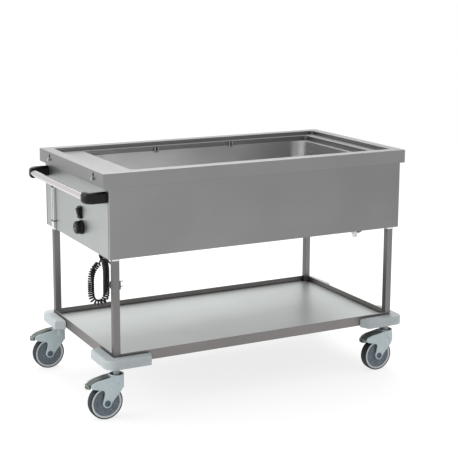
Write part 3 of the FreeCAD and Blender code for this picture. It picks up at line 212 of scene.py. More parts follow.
@dataclass(frozen=True)
class BrushedStainless:
    """Stainless steel sheet with a brushed finish: long soft streaks, satin gloss.

    Attributes:
        name: The material's name.
        colour: The tone of the metal.
        grain: The way of the brush strokes.
        roughness: The middle of the gloss, which the strokes vary.
        streak_mm: Width of a stroke. The real ones are about 0.3 mm wide, too
            fine to show, so they are drawn a few millimetres wide.
        stroke_mm: Length of a stroke.
        contrast: How much the strokes lighten and darken the tone.
        painted_shade_tone: Share of the tone that is left where the painted shade of seams, inner corners and
            overhangs is darkest.
        painted_shade_mm: How far the painted shade of a seam or an overhang reaches.
        cloud_and_painted_reflection: How much the soft clouds lighten and darken the tone: the drawn steel's
            own cloudiness, with painted blurred reflections where it is strong.
        painted_shade_side_colour: The tone of upright faces, if it differs: painted shade on the sides.
        painted_corner_highlight: How much lighter faces are that turn a drawn corner, a painted highlight.
        painted_left_light: Times the tone on faces that look along -X: painted light above 1, painted shade
            below 1.
        drift: How much lighter the tone is at the left end than in the middle, a painted gradient of light.
        CLOUDS: Number of soft clouds to a metre.
        PRESSED: Depth of the strokes in metres, deeper than real to show.
    """

    CLOUDS = 3.2
    PRESSED = 0.00025

    name: str
    colour: str
    grain: Grain
    roughness: float = 0.34
    streak_mm: float = 3.0
    stroke_mm: float = 260.0
    contrast: float = 0.10
    painted_shade_tone: float = 0.55
    painted_shade_mm: float = 9.0
    cloud_and_painted_reflection: float = 0.05
    painted_shade_side_colour: str | None = None
    painted_corner_highlight: float = 0.0
    painted_left_light: float = 1.0
    drift: float = 0.0

    def material(self) -> bpy.types.Material:
        """Build the nodes: streaks, soft clouds, painted shade in seams and hollows, and painted highlights
        on corners, all on the tone.
        """
        material, tree, shader, _ = blank_material(self.name)
        place = add_node(tree, "ShaderNodeTexCoord").outputs["Object"]
        fine = 1 / (self.streak_mm * MM)
        coarse = 1 / (self.stroke_mm * MM)
        scale = [coarse if along else fine for along in self.grain.value]
        stretched = add_node(tree, "ShaderNodeMapping", {"Scale": scale}, {"Vector": place})
        strokes = add_node(tree, "ShaderNodeTexNoise", {"Scale": 1.0, "Detail": 3.0, "Roughness": 0.6},
                           {"Vector": stretched.outputs["Vector"]}).outputs["Fac"]
        normal = add_node(tree, "ShaderNodeNewGeometry").outputs["Normal"]
        facing = add_node(tree, "ShaderNodeSeparateXYZ", links={0: normal})
        # Upright faces take the side colour: painted shade on the sides.
        upward = add_node(tree, "ShaderNodeMapRange", {"From Min": 0.4, "From Max": 0.8},
                          {"Value": facing.outputs["Z"]})
        own = add_node(tree, "ShaderNodeMix",
                       {6: linear(self.painted_shade_side_colour or self.colour), 7: linear(self.colour)},
                       {0: upward.outputs["Result"]}, data_type="RGBA")
        level = self.tone_level(tree, place, facing, strokes)
        tint = add_node(tree, "ShaderNodeVectorMath", links={0: own.outputs[2], 3: level}, operation="SCALE")
        join_surface(tree, shader, tint, (strokes, self.roughness - 0.05, self.roughness + 0.07),
                     (strokes, 0.12, self.PRESSED), {"Metallic": 1.0})
        return material

    def tone_level(
        self,
        tree: bpy.types.NodeTree,
        place: bpy.types.NodeSocket,
        facing: bpy.types.Node,
        strokes: bpy.types.NodeSocket,
    ) -> bpy.types.NodeSocket:
        """Work out how light the tone is at each spot, painted shade and painted light included.

        Args:
            tree: The node tree.
            place: The spot's own place.
            facing: The node that parts the way in which the spot faces.
            strokes: The pattern of the brush strokes.

        Returns:
            The output that scales the colour.
        """
        clouds = add_node(tree, "ShaderNodeTexNoise", {"Scale": self.CLOUDS, "Detail": 2.0, "Roughness": 0.5},
                          {"Vector": place})
        # Ambient occlusion paints shade into seams, hollows and faces under overhangs.
        painted_occlusion = add_node(tree, "ShaderNodeAmbientOcclusion", {"Distance": self.painted_shade_mm * MM}, samples=8)
        # Faces turned halfway between X and Y, on drawn corners, get a painted highlight.
        across = add_node(tree, "ShaderNodeMath", links={0: facing.outputs["X"], 1: facing.outputs["Y"]},
                          operation="MULTIPLY")
        turned = add_node(tree, "ShaderNodeMath", links={0: across.outputs["Value"]}, operation="ABSOLUTE")
        length = add_node(tree, "ShaderNodeSeparateXYZ", links={0: place})
        return scaled_tone(tree, [
            (strokes, 0.0, 1.0, 1 - self.contrast, 1 + self.contrast),
            # Soft clouds: the steel's own cloudiness, with painted reflections where they are strong.
            (clouds.outputs["Fac"], 0.3, 0.7, 1 - self.cloud_and_painted_reflection, 1 + self.cloud_and_painted_reflection),
            # Painted shade from the occlusion.
            (painted_occlusion.outputs["AO"], 0.25, 0.85, self.painted_shade_tone, 1.0),
            # Painted highlight on rounded corners.
            (turned.outputs["Value"], 0.15, 0.5, 1.0, 1 + self.painted_corner_highlight),
            # Painted light and shade on faces that look along -X.
            (facing.outputs["X"], -0.8, -0.5, self.painted_left_light, 1.0),
            # Painted gradient of light: lighter towards the left end.
            (length.outputs["X"], -0.6, 0.6, 1 + self.drift, 1 - self.drift),
        ])


@dataclass(frozen=True)
class MouldedPlastic:
    """Injection moulded plastic with a spark-eroded skin: soft gloss, fine pits.

    Attributes:
        name: The material's name.
        colour: The pigment.
        roughness: The middle of the gloss.
        pit_mm: Size of the skin's pits.
        bump: Strength of the pits.
        mottle: How much the tone drifts over a hand's width.
        coat: Strength of a clear gloss on top.
        sheen: Level of the skin's own reflection, 0.5 for plain plastic.
        speckle: How much fine grains lighten and darken the tone.
        PATCHES: Number of slow patches to a metre.
        PRESSED: Depth of the pits in metres, deeper than real to show.
    """

    PATCHES = 22.0
    PRESSED = 0.0002

    name: str
    colour: str
    roughness: float = 0.45
    pit_mm: float = 1.2
    bump: float = 0.15
    mottle: float = 0.06
    coat: float = 0.0
    sheen: float = 0.5
    speckle: float = 0.0

    def material(self) -> bpy.types.Material:
        """Build the nodes: pits on bump and gloss, a slow drift on the tone."""
        material, tree, shader, _ = blank_material(self.name)
        place = {"Vector": add_node(tree, "ShaderNodeTexCoord").outputs["Object"]}
        pits = add_node(tree, "ShaderNodeTexNoise", {"Scale": 1 / (self.pit_mm * MM), "Detail": 2.0},
                        place).outputs["Fac"]
        drift = add_node(tree, "ShaderNodeTexNoise", {"Scale": self.PATCHES, "Detail": 3.0, "Roughness": 0.6},
                         place).outputs["Fac"]
        level = scaled_tone(tree, [
            (drift, 0.3, 0.7, 1 - self.mottle, 1 + self.mottle),
            (pits, 0.35, 0.65, 1 - self.speckle, 1 + self.speckle),
        ])
        tint = add_node(tree, "ShaderNodeVectorMath", {0: linear(self.colour)[:3]}, {3: level},
                        operation="SCALE")
        join_surface(tree, shader, tint, (drift, self.roughness - 0.06, self.roughness + 0.08),
                     (pits, self.bump, self.PRESSED),
                     {"IOR": 1.5, "Coat Weight": self.coat, "Specular IOR Level": self.sheen})
        return material


@dataclass(frozen=True)
class PlatedMetal:
    """Zinc or chromium plate on a turned or cast piece: bright, a little uneven.

    Attributes:
        name: The material's name.
        colour: The tone of the plate.
        roughness: The middle of the gloss.
        spangle_mm: Size of the plate's uneven patches.
    """

    name: str
    colour: str
    roughness: float = 0.2
    spangle_mm: float = 6.0

    def material(self) -> bpy.types.Material:
        """Build the nodes: uneven patches on tone and gloss."""
        material, tree, shader, _ = blank_material(self.name)
        place = add_node(tree, "ShaderNodeTexCoord").outputs["Object"]
        patches = add_node(tree, "ShaderNodeTexNoise",
                           {"Scale": 1 / (self.spangle_mm * MM), "Detail": 3.0},
                           {"Vector": place}).outputs["Fac"]
        level = scaled_tone(tree, [(patches, 0.0, 1.0, 0.88, 1.1)])
        tint = add_node(tree, "ShaderNodeVectorMath", {0: linear(self.colour)[:3]}, {3: level},
                        operation="SCALE")
        join_surface(tree, shader, tint, (patches, self.roughness - 0.06, self.roughness + 0.1), None,
                     {"Metallic": 1.0})
        return material


class Finishes:
    """The trolley's finishes, each made once and found by name."""

    CATALOGUE = (
        # Each brushed steel has painted shade from occlusion in seams, hollows and under overhangs. Top
        # frame: deeper painted shade in its recess, painted shade on -X faces and painted light towards the
        # left end.
        BrushedStainless("stainless_frame_ground", "#898989", Grain.ALONG_X, roughness=0.33, contrast=0.05,
                         painted_shade_tone=0.5, painted_shade_mm=14.0, painted_left_light=0.9, drift=0.03),
        # Long panels: a darker copy of the ends' steel, painted shade of the faces turned from the lamps,
        # with a painted highlight on -X faces and painted light towards the left end.
        BrushedStainless("stainless_panel_brushed", "#868686", Grain.ALONG_X, roughness=0.30, contrast=0.07,
                         painted_left_light=1.5, drift=0.07),
        # Ends: a lighter copy of the same steel, painted light of the lamp side, with deep painted shade
        # under the rim and round the fittings.
        BrushedStainless("stainless_end_brushed", "#A6AAA9", Grain.ALONG_Y, roughness=0.38, contrast=0.05,
                         painted_shade_tone=0.3, painted_shade_mm=22.0),
        # Well: painted reflections in strong clouds, painted highlights on its corners, painted shade in its
        # hollows and painted light towards the left end.
        BrushedStainless("stainless_well_drawn", "#C8C8C8", Grain.ALONG_X, roughness=0.33, contrast=0.06,
                         painted_shade_tone=0.6, painted_shade_mm=20.0, cloud_and_painted_reflection=0.12, painted_corner_highlight=0.4, drift=0.26),
        # Posts: painted shade on faces that look along -X.
        BrushedStainless("stainless_post_brushed", "#7C7A79", Grain.ALONG_Z, roughness=0.32, painted_left_light=0.66),
        # Shelf: painted shade on its upright walls and deep painted shade along its seams.
        BrushedStainless("stainless_shelf_brushed", "#B5B9B7", Grain.ALONG_X, roughness=0.36, contrast=0.06,
                         painted_shade_tone=0.15, painted_shade_mm=12.0, painted_shade_side_colour="#807D7C"),
        BrushedStainless("stainless_tube_brushed", "#C6C4C3", Grain.ALONG_Y, roughness=0.24),
        BrushedStainless("stainless_polished", "#E2E2E2", Grain.ALONG_Z, roughness=0.16, contrast=0.03,
                         painted_shade_tone=0.6),
        PlatedMetal("steel_zinc_plated", "#B9BEC0", roughness=0.3),
        PlatedMetal("brass_chromium_plated", "#C9CBCD", roughness=0.12, spangle_mm=14.0),
        MouldedPlastic("polyamide_black", "#0A0809", roughness=0.34, sheen=0.25),
        MouldedPlastic("polycarbonate_black_gloss", "#080A09", roughness=0.2, coat=0.12, sheen=0.3),
        MouldedPlastic("polyethylene_bumper_grey", "#B5BCBE", roughness=0.55, pit_mm=2.0),
        MouldedPlastic("polyamide_castor_grey", "#C4D2D6", roughness=0.42, mottle=0.05),
        MouldedPlastic("polyamide_pedal_grey", "#565C55", roughness=0.34),
        # Lighter grey of the pedal's lip rim: a painted highlight.
        MouldedPlastic("polyamide_lip_painted_highlight", "#99A19D", roughness=0.4),
        MouldedPlastic("polyamide_cap_slate", "#4A5C66", roughness=0.4),
        MouldedPlastic("polypropylene_wheel_grey", "#66727A", roughness=0.48, pit_mm=4.5, bump=0.35,
                       mottle=0.12, speckle=0.4),
        MouldedPlastic("polypropylene_ring_pale", "#CDD1D3", roughness=0.42),
        MouldedPlastic("rubber_tyre_grey", "#1E2427", roughness=0.62, pit_mm=2.5, bump=0.3, sheen=0.35),
        MouldedPlastic("rubber_seal_black", "#17181A", roughness=0.5, sheen=0.3),
        MouldedPlastic("rubber_cord_black", "#0A0909", roughness=0.34, pit_mm=0.8, sheen=0.4),
        MouldedPlastic("urea_white", "#D8D8D2", roughness=0.35),
        MouldedPlastic("mineral_fibre_board", "#B8AE96", roughness=0.9, pit_mm=2.0, bump=0.5),
        MouldedPlastic("print_white", "#D5D8D6", roughness=0.5),
    )

    def __init__(self) -> None:
        """Start with no material made."""
        self._made: dict[str, bpy.types.Material] = {}

    def get(self, name: str) -> bpy.types.Material:
        """Find a finish, making it at first use.

        Args:
            name: The finish's name in the catalogue.

        Returns:
            The Blender material.
        """
        if name not in self._made:
            finish = next(item for item in self.CATALOGUE if item.name == name)
            self._made[name] = finish.material()
        return self._made[name]


# --------------------------------------------------------------------- meshes
def grid_faces(
    rows: int, columns: int, close_rows: bool = False, close_columns: bool = False
) -> np.ndarray:
    """Quads of a grid of points kept row by row.

    Args:
        rows: Number of rows.
        columns: Number of points in a row.
        close_rows: Whether the last row meets the first one.
        close_columns: Whether each row is a closed loop.

    Returns:
        An array of four point numbers for each face.
    """
    row = np.arange(rows if close_rows else rows - 1)[:, None]
    column = np.arange(columns if close_columns else columns - 1)[None, :]
    next_row = (row + 1) % rows
    next_column = (column + 1) % columns
    corners = np.stack(np.broadcast_arrays(
        row * columns + column,
        row * columns + next_column,
        next_row * columns + next_column,
        next_row * columns + column,
    ), axis=-1)
    return corners.reshape(-1, 4)


def place_object(name: str, data: bpy.types.ID) -> bpy.types.Object:
    """Put a mesh, curve, lamp or camera into the scene.

    Args:
        name: The object's name.
        data: What it shows.

    Returns:
        The new object.
    """
    made = bpy.data.objects.new(name, data)
    bpy.context.scene.collection.objects.link(made)
    return made


def lathe(
    profile: Any, centre: np.ndarray, axis: int, segments: int, closed: bool = True
) -> tuple[np.ndarray, np.ndarray]:
    """Turn a profile round an axis: (r cos a, r sin a) across it, h along it.

    Args:
        profile: Radius and place along the axis in millimetres, a pair in each row.
        centre: The point of the axis from which places are counted, in metres.
        axis: Number of the axis, 0 for X, 1 for Y or 2 for Z.
        segments: Number of steps round the axis.
        closed: Whether the profile is a closed loop. If not, it ends on the axis.

    Returns:
        Points, row by row of the profile, and faces.
    """
    radius, height = (np.asarray(profile, float) * MM).T[:, :, None]
    angle = np.arange(segments) * 2 * math.pi / segments
    first, second = [number for number in range(3) if number != axis]
    points = np.zeros((len(radius), segments, 3))
    points[:, :, first] = radius * np.cos(angle)
    points[:, :, second] = radius * np.sin(angle)
    points[:, :, axis] = height
    faces = grid_faces(len(radius), segments, close_rows=closed, close_columns=True)
    return points.reshape(-1, 3) + centre, faces


def rounded(corners: Any, cut: float, steps: int = 4, closed: bool = True) -> np.ndarray:
    """Round the corners of a polygon.

    Each corner b becomes the parabola a(1-t)^2 + 2 b t(1-t) + c t^2, where a
    and c lie on its two sides, a cut away from it or near their middles.

    Args:
        corners: One corner in each row.
        cut: Length taken off each side, in the corners' unit.
        steps: Steps of each parabola.
        closed: Whether the last corner joins the first one.

    Returns:
        The rounded line's points.
    """
    corners = np.asarray(corners, float)
    back = np.roll(corners, 1, axis=0) - corners
    onward = np.roll(corners, -1, axis=0) - corners
    first = corners + back * np.minimum(cut / np.linalg.norm(back, axis=1), 0.45)[:, None]
    last = corners + onward * np.minimum(cut / np.linalg.norm(onward, axis=1), 0.45)[:, None]
    t = np.linspace(0, 1, steps + 1)[None, :, None]
    curve = first[:, None] * (1 - t) ** 2 + 2 * corners[:, None] * t * (1 - t) + last[:, None] * t ** 2
    if closed:
        return curve.reshape(-1, corners.shape[1])
    return np.concatenate([corners[:1], curve[1:-1].reshape(-1, corners.shape[1]), corners[-1:]])


def mirrored_profile(half: list[tuple[float, float]]) -> np.ndarray:
    """Complete a profile whose second half is the first one mirrored.

    Args:
        half: Radius and place along the axis, from one rim to the middle.

    Returns:
        The closed profile.
    """
    side = np.asarray(half, float)
    return np.concatenate([side, side[::-1] * [1, -1]])


def middle_of(node: str) -> np.ndarray:
    """The middle of a node's box at rest.

    Args:
        node: The node's name.

    Returns:
        A point in metres.
    """
    low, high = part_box(node)
    return (np.array(low) + np.array(high)) / 2


def square_loop(half: float, corner: float, steps: int = 5) -> np.ndarray:
    """A square with round corners, about the origin.

    Args:
        half: Half of its side.
        corner: Radius of its corners.
        steps: Steps of each corner.

    Returns:
        Points in the plane.
    """
    return rounded([(-half, -half), (half, -half), (half, half), (-half, half)], corner * 1.2, steps)


def slab_rows(outline: np.ndarray, low: float, high: float, edge: float) -> np.ndarray:
    """Rows of a slab: its outline at each y, drawn in along a quarter circle at both faces.

    Args:
        outline: Corners in X and Z, against the clock.
        low: Lowest y.
        high: Highest y.
        edge: Radius of the slab's long edges.

    Returns:
        Points in rows, one row for each y.
    """
    along = np.roll(outline, -1, axis=0) - np.roll(outline, 1, axis=0)
    along /= np.linalg.norm(along, axis=1, keepdims=True)
    inward = np.stack([-along[:, 1], along[:, 0]], axis=1)
    turn = np.linspace(0, math.pi / 2, 5)[1:]
    flat = np.linspace(low + edge, high - edge, 13)
    near = low + edge - edge * np.sin(turn)
    far = high - edge + edge * np.sin(turn)
    sunk = edge * (1 - np.cos(turn))
    places = np.concatenate([near[::-1], flat, far])
    depth = np.concatenate([sunk[::-1], 0 * flat, sunk])
    rows = outline[None] + inward[None] * depth[:, None, None]
    across = np.broadcast_to(places[:, None], rows.shape[:2])
    return np.stack([rows[..., 0], across, rows[..., 1]], axis=-1)


def capped_rows(rows: np.ndarray) -> tuple[np.ndarray, list[Any]]:
    """Join closed rows of points into a skin whose first and last row are filled.

    Args:
        rows: Points in rows.

    Returns:
        The points, one in each row, and the faces.
    """
    levels, count = rows.shape[:2]
    faces = grid_faces(levels, count, close_columns=True).tolist()
    faces += [list(range(count)), list(range((levels - 1) * count, levels * count))]
    return rows.reshape(-1, 3), faces


def merged(*parts: tuple[np.ndarray, Any]) -> tuple[np.ndarray, list[Any]]:
    """Put several skins into one.

    Args:
        parts: Points and faces of each skin.

    Returns:
        All points and all faces.
    """
    starts = np.cumsum([0] + [len(points) for points, _ in parts])
    faces = []
    for (_, own), start in zip(parts, starts):
        faces += [[int(number) + start for number in face] for face in own]
    return np.concatenate([points for points, _ in parts]), faces


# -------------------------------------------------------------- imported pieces
@dataclass
class SubAssembly:
    """Pieces of the trolley that are made together.

    Attributes:
        finishes: The trolley's finishes.
    """

    finishes: Finishes

    def shape(
        self,
        name: str,
        skin: tuple[np.ndarray, Any],
        finish: str,
        body: str,
        slot: str,
        replaces: tuple[str, ...] = (),
        auto_smooth_deg: float = 35.0,
    ) -> bpy.types.Object:
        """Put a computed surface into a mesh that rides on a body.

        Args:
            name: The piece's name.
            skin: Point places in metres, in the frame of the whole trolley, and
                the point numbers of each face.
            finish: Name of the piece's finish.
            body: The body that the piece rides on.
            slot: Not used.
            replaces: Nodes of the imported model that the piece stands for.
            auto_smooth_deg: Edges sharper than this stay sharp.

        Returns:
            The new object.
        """
        points, faces = skin
        mesh = bpy.data.meshes.new(name)
        mesh.from_pydata(np.asarray(points, float).tolist(), [], [list(map(int, face)) for face in faces])
        form = bmesh.new()
        form.from_mesh(mesh)
        bmesh.ops.remove_doubles(form, verts=form.verts, dist=1e-6)
        bmesh.ops.dissolve_degenerate(form, edges=form.edges, dist=1e-7)
        bmesh.ops.recalc_face_normals(form, faces=form.faces)
        form.to_mesh(mesh)
        form.free()
        mesh.polygons.foreach_set("use_smooth", np.ones(len(mesh.polygons), bool))
        mesh.set_sharp_from_angle(angle=math.radians(auto_smooth_deg))
        mesh.materials.append(self.finishes.get(finish))
        piece = place_object(name, mesh)
        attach(piece, body)
        if replaces:
            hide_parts(*replaces)
        LOG.info("piece %s: %d faces", name, len(mesh.polygons))
        return piece

    def turn(
        self,
        name: str,
        profile: Any,
        centre: np.ndarray,
        axis: int,
        finish: str,
        body: str,
        slot: str,
        closed: bool = True,
        segments: int = 96,
        **ties: Any,
    ) -> bpy.types.Object:
        """Turn a profile given in millimetres into a piece.

        Args:
            name: The piece's name.
            profile: Radius and place along the axis.
            centre: The point of the axis from which places are counted, in metres.
            axis: Number of the axis.
            finish: Name of the piece's finish.
            body: The body that it rides on.
            slot: The record's material slot.
            closed: Whether the profile is a closed loop. If not, it ends on the axis.
            segments: Steps round the axis.
            ties: The nodes that it replaces, and which of its edges stay sharp.

        Returns:
            The new object.
        """
        return self.shape(name, lathe(profile, centre, axis, segments, closed), finish, body, slot, **ties)


@dataclass
class PackedPieces(SubAssembly):
    """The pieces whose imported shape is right, each with its own finish.

    Attributes:
        frame: The loaded frame.
        nodes_by_finish: Finish name to the nodes that wear it.
    """

    frame: dict[str, Any]
    nodes_by_finish: dict[str, tuple[str, ...]] = field(default_factory=lambda: {
        "stainless_frame_ground": ("top_frame",),
        "stainless_panel_brushed": ("front_panel", "rear_panel"),
        "stainless_end_brushed": ("control_panel", "end_panel"),
        "stainless_well_drawn": ("well_basin", "bottom_cover"),
        "stainless_post_brushed": tuple(f"post_{corner}" for corner in CORNERS),
        "stainless_shelf_brushed": ("lower_shelf",),
        "stainless_tube_brushed": ("handle_tube",),
        "stainless_polished": ("guide_rail",),
        "steel_zinc_plated": ("handle_screws", "heating_element", "hanging_studs"),
        "brass_chromium_plated": ("drain_valve", "plug_pins", "drain_pipe", "crossbar_pins"),
        "polyamide_black": ("handle_bracket_front", "handle_bracket_rear", "rail_clips", "drain_lever",
                            "plug_holder", "switch_housing"),
        "polyethylene_bumper_grey": tuple(f"bumper_{corner}" for corner in CORNERS),
        "urea_white": ("terminal_box", "thermostat"),
        "mineral_fibre_board": ("insulation_board",),
    })

    def dress(self) -> None:
        """Give each node its finish through its material slots."""
        for finish, nodes in self.nodes_by_finish.items():
            for node in nodes:
                piece = self.frame["nodes"][node]
                if not piece.material_slots:
                    piece.data.materials.append(None)
                for place in piece.material_slots:
                    place.link = "OBJECT"
                    place.material = self.finishes.get(finish)
                LOG.info("node %s: %s", node, finish)


# -------------------------------------------------------------------- castors
@dataclass
class Castor(SubAssembly):
    """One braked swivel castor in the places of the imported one. Lengths in millimetres.

    Attributes:
        corner: Name of the corner that the castor stands under.
        bore: Radius of the wheel's bore.
        rim_inner: Inner radius of the pale rim ring.
        rim_outer: Its outer radius, where the tyre sits.
        rim_half: Half of its width.
        tyre_half: Half of the tyre's width.
        cap_radius: Radius of the axle's caps.
        boss_radius: Radius of the raised ring round each cap.
        cheek_inner: Distance of the cheeks' inner faces from the wheel's middle.
        cheek_outer: Distance of their outer faces.
        trail: Distance of the neck's axis from the wheel's.
        head_radius: Radius of the housing's head.
        head_top: Height of the head's rim over the axle.
        neck_radius: Radius of the neck between head and bumper.
        pedal_half: Half of the pedal's width.
    """

    corner: str
    bore: float = 6.3
    rim_inner: float = 49.6
    rim_outer: float = 57.6
    rim_half: float = 15.2
    tyre_half: float = 16.0
    cap_radius: float = 11.5
    boss_radius: float = 16.8
    cheek_inner: float = 19.6
    cheek_outer: float = 24.5
    trail: float = 44.0
    head_radius: float = 27.0
    head_top: float = 99.5
    neck_radius: float = 11.0
    pedal_half: float = 16.5

    def __post_init__(self) -> None:
        """Read the wheel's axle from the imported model."""
        self.axle = middle_of(f"castor_wheel_{self.corner}")
        self.ground = self.axle[2] / MM
        self.stem = self.axle + np.array([self.trail, 0.0, 0.0]) * MM

    def roll_wheel(self) -> None:
        """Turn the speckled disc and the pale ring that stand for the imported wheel."""
        disc = [
            (self.bore, 17.3), (11.5, 17.3), (13.6, 16.0), (15.0, 12.4), (18.0, 11.2), (30.0, 10.4),
            (43.0, 11.0), (46.0, 12.0), (47.8, 13.8), (self.rim_inner, 14.0),
        ]
        ring = [(self.rim_inner + 0.1, self.rim_half), (self.rim_outer, self.rim_half)]
        for name, half, edge, finish in (("disc", disc, 1.6, "polypropylene_wheel_grey"),
                                         ("ring", ring, 1.8, "polypropylene_ring_pale")):
            self.turn(f"wheel_{name}_{self.corner}", rounded(mirrored_profile(half), edge), self.axle, 1,
                      finish, f"wheel_{self.corner}", "wheel_grey",
                      replaces=(f"castor_wheel_{self.corner}",))

    def press_tyre(self) -> None:
        """Turn the tyre: |y/half|^4 + |(r - seat)/wall|^4 = 1 gives its round shoulders."""
        seat = self.rim_outer + 0.2
        wall = self.ground - seat
        turn = np.linspace(-math.pi / 2, math.pi / 2, 33)
        radius = seat + wall * np.sqrt(np.cos(turn).clip(0))
        place = self.tyre_half * np.sign(np.sin(turn)) * np.sqrt(np.abs(np.sin(turn)))
        self.turn(f"tyre_{self.corner}", np.stack([radius, place], axis=1), self.axle, 1,
                  "rubber_tyre_grey", f"wheel_{self.corner}", "tyre_rubber",
                  replaces=(f"castor_tyre_{self.corner}",))

    def fit_axle(self) -> None:
        """Turn the axle with its dimpled caps, and the raised ring round each cap."""
        outer = self.cheek_outer + 3.4
        seat = self.cheek_outer + 0.2
        half = [(0.0, outer - 1.4), (3.0, outer - 1.4), (3.8, outer), (self.cap_radius - 2, outer - 0.3),
                (self.cap_radius, outer - 2.2), (self.cap_radius, seat), (5.8, seat)]
        self.turn(f"axle_{self.corner}", rounded(mirrored_profile(half), 0.8, closed=False), self.axle, 1,
                  "polyamide_cap_slate", f"swivel_{self.corner}", "zinc_steel", closed=False,
                  replaces=(f"castor_axle_{self.corner}",))
        low, high = self.cheek_outer - 0.6, self.cheek_outer + 1.6
        bore = self.cap_radius + 0.9
        ring = np.array([(bore, low), (self.boss_radius, low), (self.boss_radius - 1.2, high), (bore, high)])
        for side, name in ((-1, "outer"), (1, "inner")):
            self.turn(f"boss_ring_{name}_{self.corner}", rounded(ring * [1, side], 0.8), self.axle, 1,
                      "polyamide_castor_grey", f"swivel_{self.corner}", "castor_grey")

    def head_skin(self) -> tuple[np.ndarray, np.ndarray]:
        """Turn the housing's head: a thick ring with a raised rim and a seat for the seal."""
        top, hub, rim = self.head_top, self.neck_radius + 1, self.head_radius
        profile = rounded([
            (hub, 70), (rim, 70), (rim, top - 1), (rim - 2, top), (rim - 3.4, top - 1), (rim - 3.8, top - 6),
            (hub, top - 6),
        ], 1.4)
        return lathe(profile, self.stem, 2, 72)

    def skirt_skin(self) -> tuple[np.ndarray, np.ndarray]:
        """Half a tube behind the wheel, whose lower edge rises towards the cheeks.

        Its lower edge lies at 43 + 22 |sin a|^3, with a the angle from the trolley's length.
        """
        angle = np.linspace(-math.pi / 2, math.pi / 2, 41)
        foot = 43 + 22 * np.abs(np.sin(angle)) ** 3
        inner, outer = self.head_radius - 3, self.head_radius
        loop = rounded([(inner, 0), (outer, 0), (outer, 1), (inner, 1)], 0.08)
        height = foot[:, None] + loop[None, :, 1] * (75 - foot[:, None])
        x = loop[None, :, 0] * np.cos(angle)[:, None]
        y = loop[None, :, 0] * np.sin(angle)[:, None]
        points = np.stack([x, y, height], axis=-1).reshape(-1, 3) * MM + self.stem
        return points, grid_faces(len(angle), len(loop), close_columns=True)

    def mould_housing(self) -> None:
        """Join the head, the skirt, the crown and both cheeks, whose lobes reach under the pedal."""
        cheek = rounded([
            (0, -17), (10, -14), (17, -3), (25, 8), (41, 26), (54, 40), (61, 52), (63, 70), (62, 86),
            (57, 94), (44, 96), (28, 96), (16, 95.5), (8, 93), (-16, 89.5), (-38, 86), (-52, 80.5),
            (-60, 75.5), (-60.5, 68), (-56, 60), (-38, 55), (-20, 51), (-10.5, 47), (-8.5, 38), (-10, 28),
            (-13.5, 14), (-17, 4), (-17, -4), (-10, -14),
        ], 5.0, steps=3)
        crown = rounded([(-16, 68), (46, 68), (46, 92), (22, 92), (17, 82), (-16, 80)], 2.0)
        skins = [self.head_skin(), self.skirt_skin()]
        for outline, low, high, edge in ((cheek, -self.cheek_outer, -self.cheek_inner, 1.7),
                                         (cheek, self.cheek_inner, self.cheek_outer, 1.7),
                                         (crown, 0.5 - self.cheek_inner, self.cheek_inner - 0.5, 0.8)):
            points, faces = capped_rows(slab_rows(outline, low, high, edge))
            skins.append((points * MM + self.axle, faces))
        self.shape(f"castor_housing_{self.corner}", merged(*skins), "polyamide_castor_grey",
                   f"swivel_{self.corner}", "castor_grey", replaces=(f"castor_fork_{self.corner}",))

    def seat_neck(self) -> None:
        """Turn the neck that hangs from the bumper, and the dark seal round it."""
        bumper = (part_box(f"bumper_{self.corner}")[0].z - self.axle[2]) / MM
        floor = self.head_top - 6
        neck = [(0.0, floor + 0.6), (self.neck_radius, floor + 0.6), (self.neck_radius, bumper - 2),
                (self.neck_radius + 3, bumper + 0.5), (0.0, bumper + 0.5)]
        self.turn(f"castor_neck_{self.corner}", rounded(neck, 1.2, closed=False), self.stem, 2,
                  "polyethylene_bumper_grey", "root", "zinc_steel", closed=False,
                  replaces=("castor_stems",))
        bore = self.neck_radius + 0.8
        seal = [(bore, floor + 0.2), (self.head_radius - 4.2, floor + 0.2),
                (self.head_radius - 4.6, floor + 1.6), (bore, floor + 2.6)]
        self.turn(f"bearing_seal_{self.corner}", rounded(seal, 0.6), self.stem, 2, "rubber_seal_black",
                  f"swivel_{self.corner}", "pedal_grey")

    def mould_pedal(self) -> None:
        """Build the brake pedal: a curved band between the cheeks, and the oval rim of its lip, whose lighter
        grey is a painted highlight.

        The lip's face sinks by a bowl, (1 - (y/15)^2) (1 - ((z - 66)/6)^2), and both
        its ends are drawn back and in with the fourth power of y, so it is round. The
        rim follows |y/a|^3 + |z/b|^3 = 1 round the bowl.
        """
        lip = [(-72.8, z) for z in np.linspace(73, 60, 14)]
        outline = rounded([
            (13, 88), (14, 95), (4, 97), (-14, 94), (-28, 90.5), (-42, 84.5), (-54, 77.5), (-62, 74.5),
            (-71, 74.2), *lip, (-71, 58.4), (-66, 58.0), (-61, 62), (-57, 69), (-50, 73), (-40, 78),
            (-26, 83.5), (-12, 86.5),
        ], 3.0, steps=3)
        rows = slab_rows(outline, -self.pedal_half, self.pedal_half, 2.4)
        across = rows[..., 1] / self.pedal_half
        tip = ((-52 - rows[..., 0]) / 20).clip(0, 1)
        bowl = (1 - (rows[..., 1] / 15) ** 2).clip(0) * (1 - ((rows[..., 2] - 66) / 6) ** 2).clip(0)
        rows[..., 0] += tip * (6.0 * (rows[..., 0] < -70) * bowl + 6.0 * across ** 4)
        rows[..., 1] *= 1 + 0.14 * tip
        rows[..., 2] += (66 - rows[..., 2]) * 0.35 * tip ** 2 * across ** 4
        points, faces = capped_rows(rows)
        self.shape(f"pedal_{self.corner}", (points * MM + self.axle, faces), "polyamide_pedal_grey",
                   f"pedal_{self.corner}", "pedal_grey", replaces=(f"brake_pedal_{self.corner}",))
        steps, sides, wire = 72, 12, 1.3
        around = np.linspace(0, 2 * math.pi, steps, endpoint=False)[:, None]
        tube = np.linspace(0, 2 * math.pi, sides, endpoint=False)[None, :]
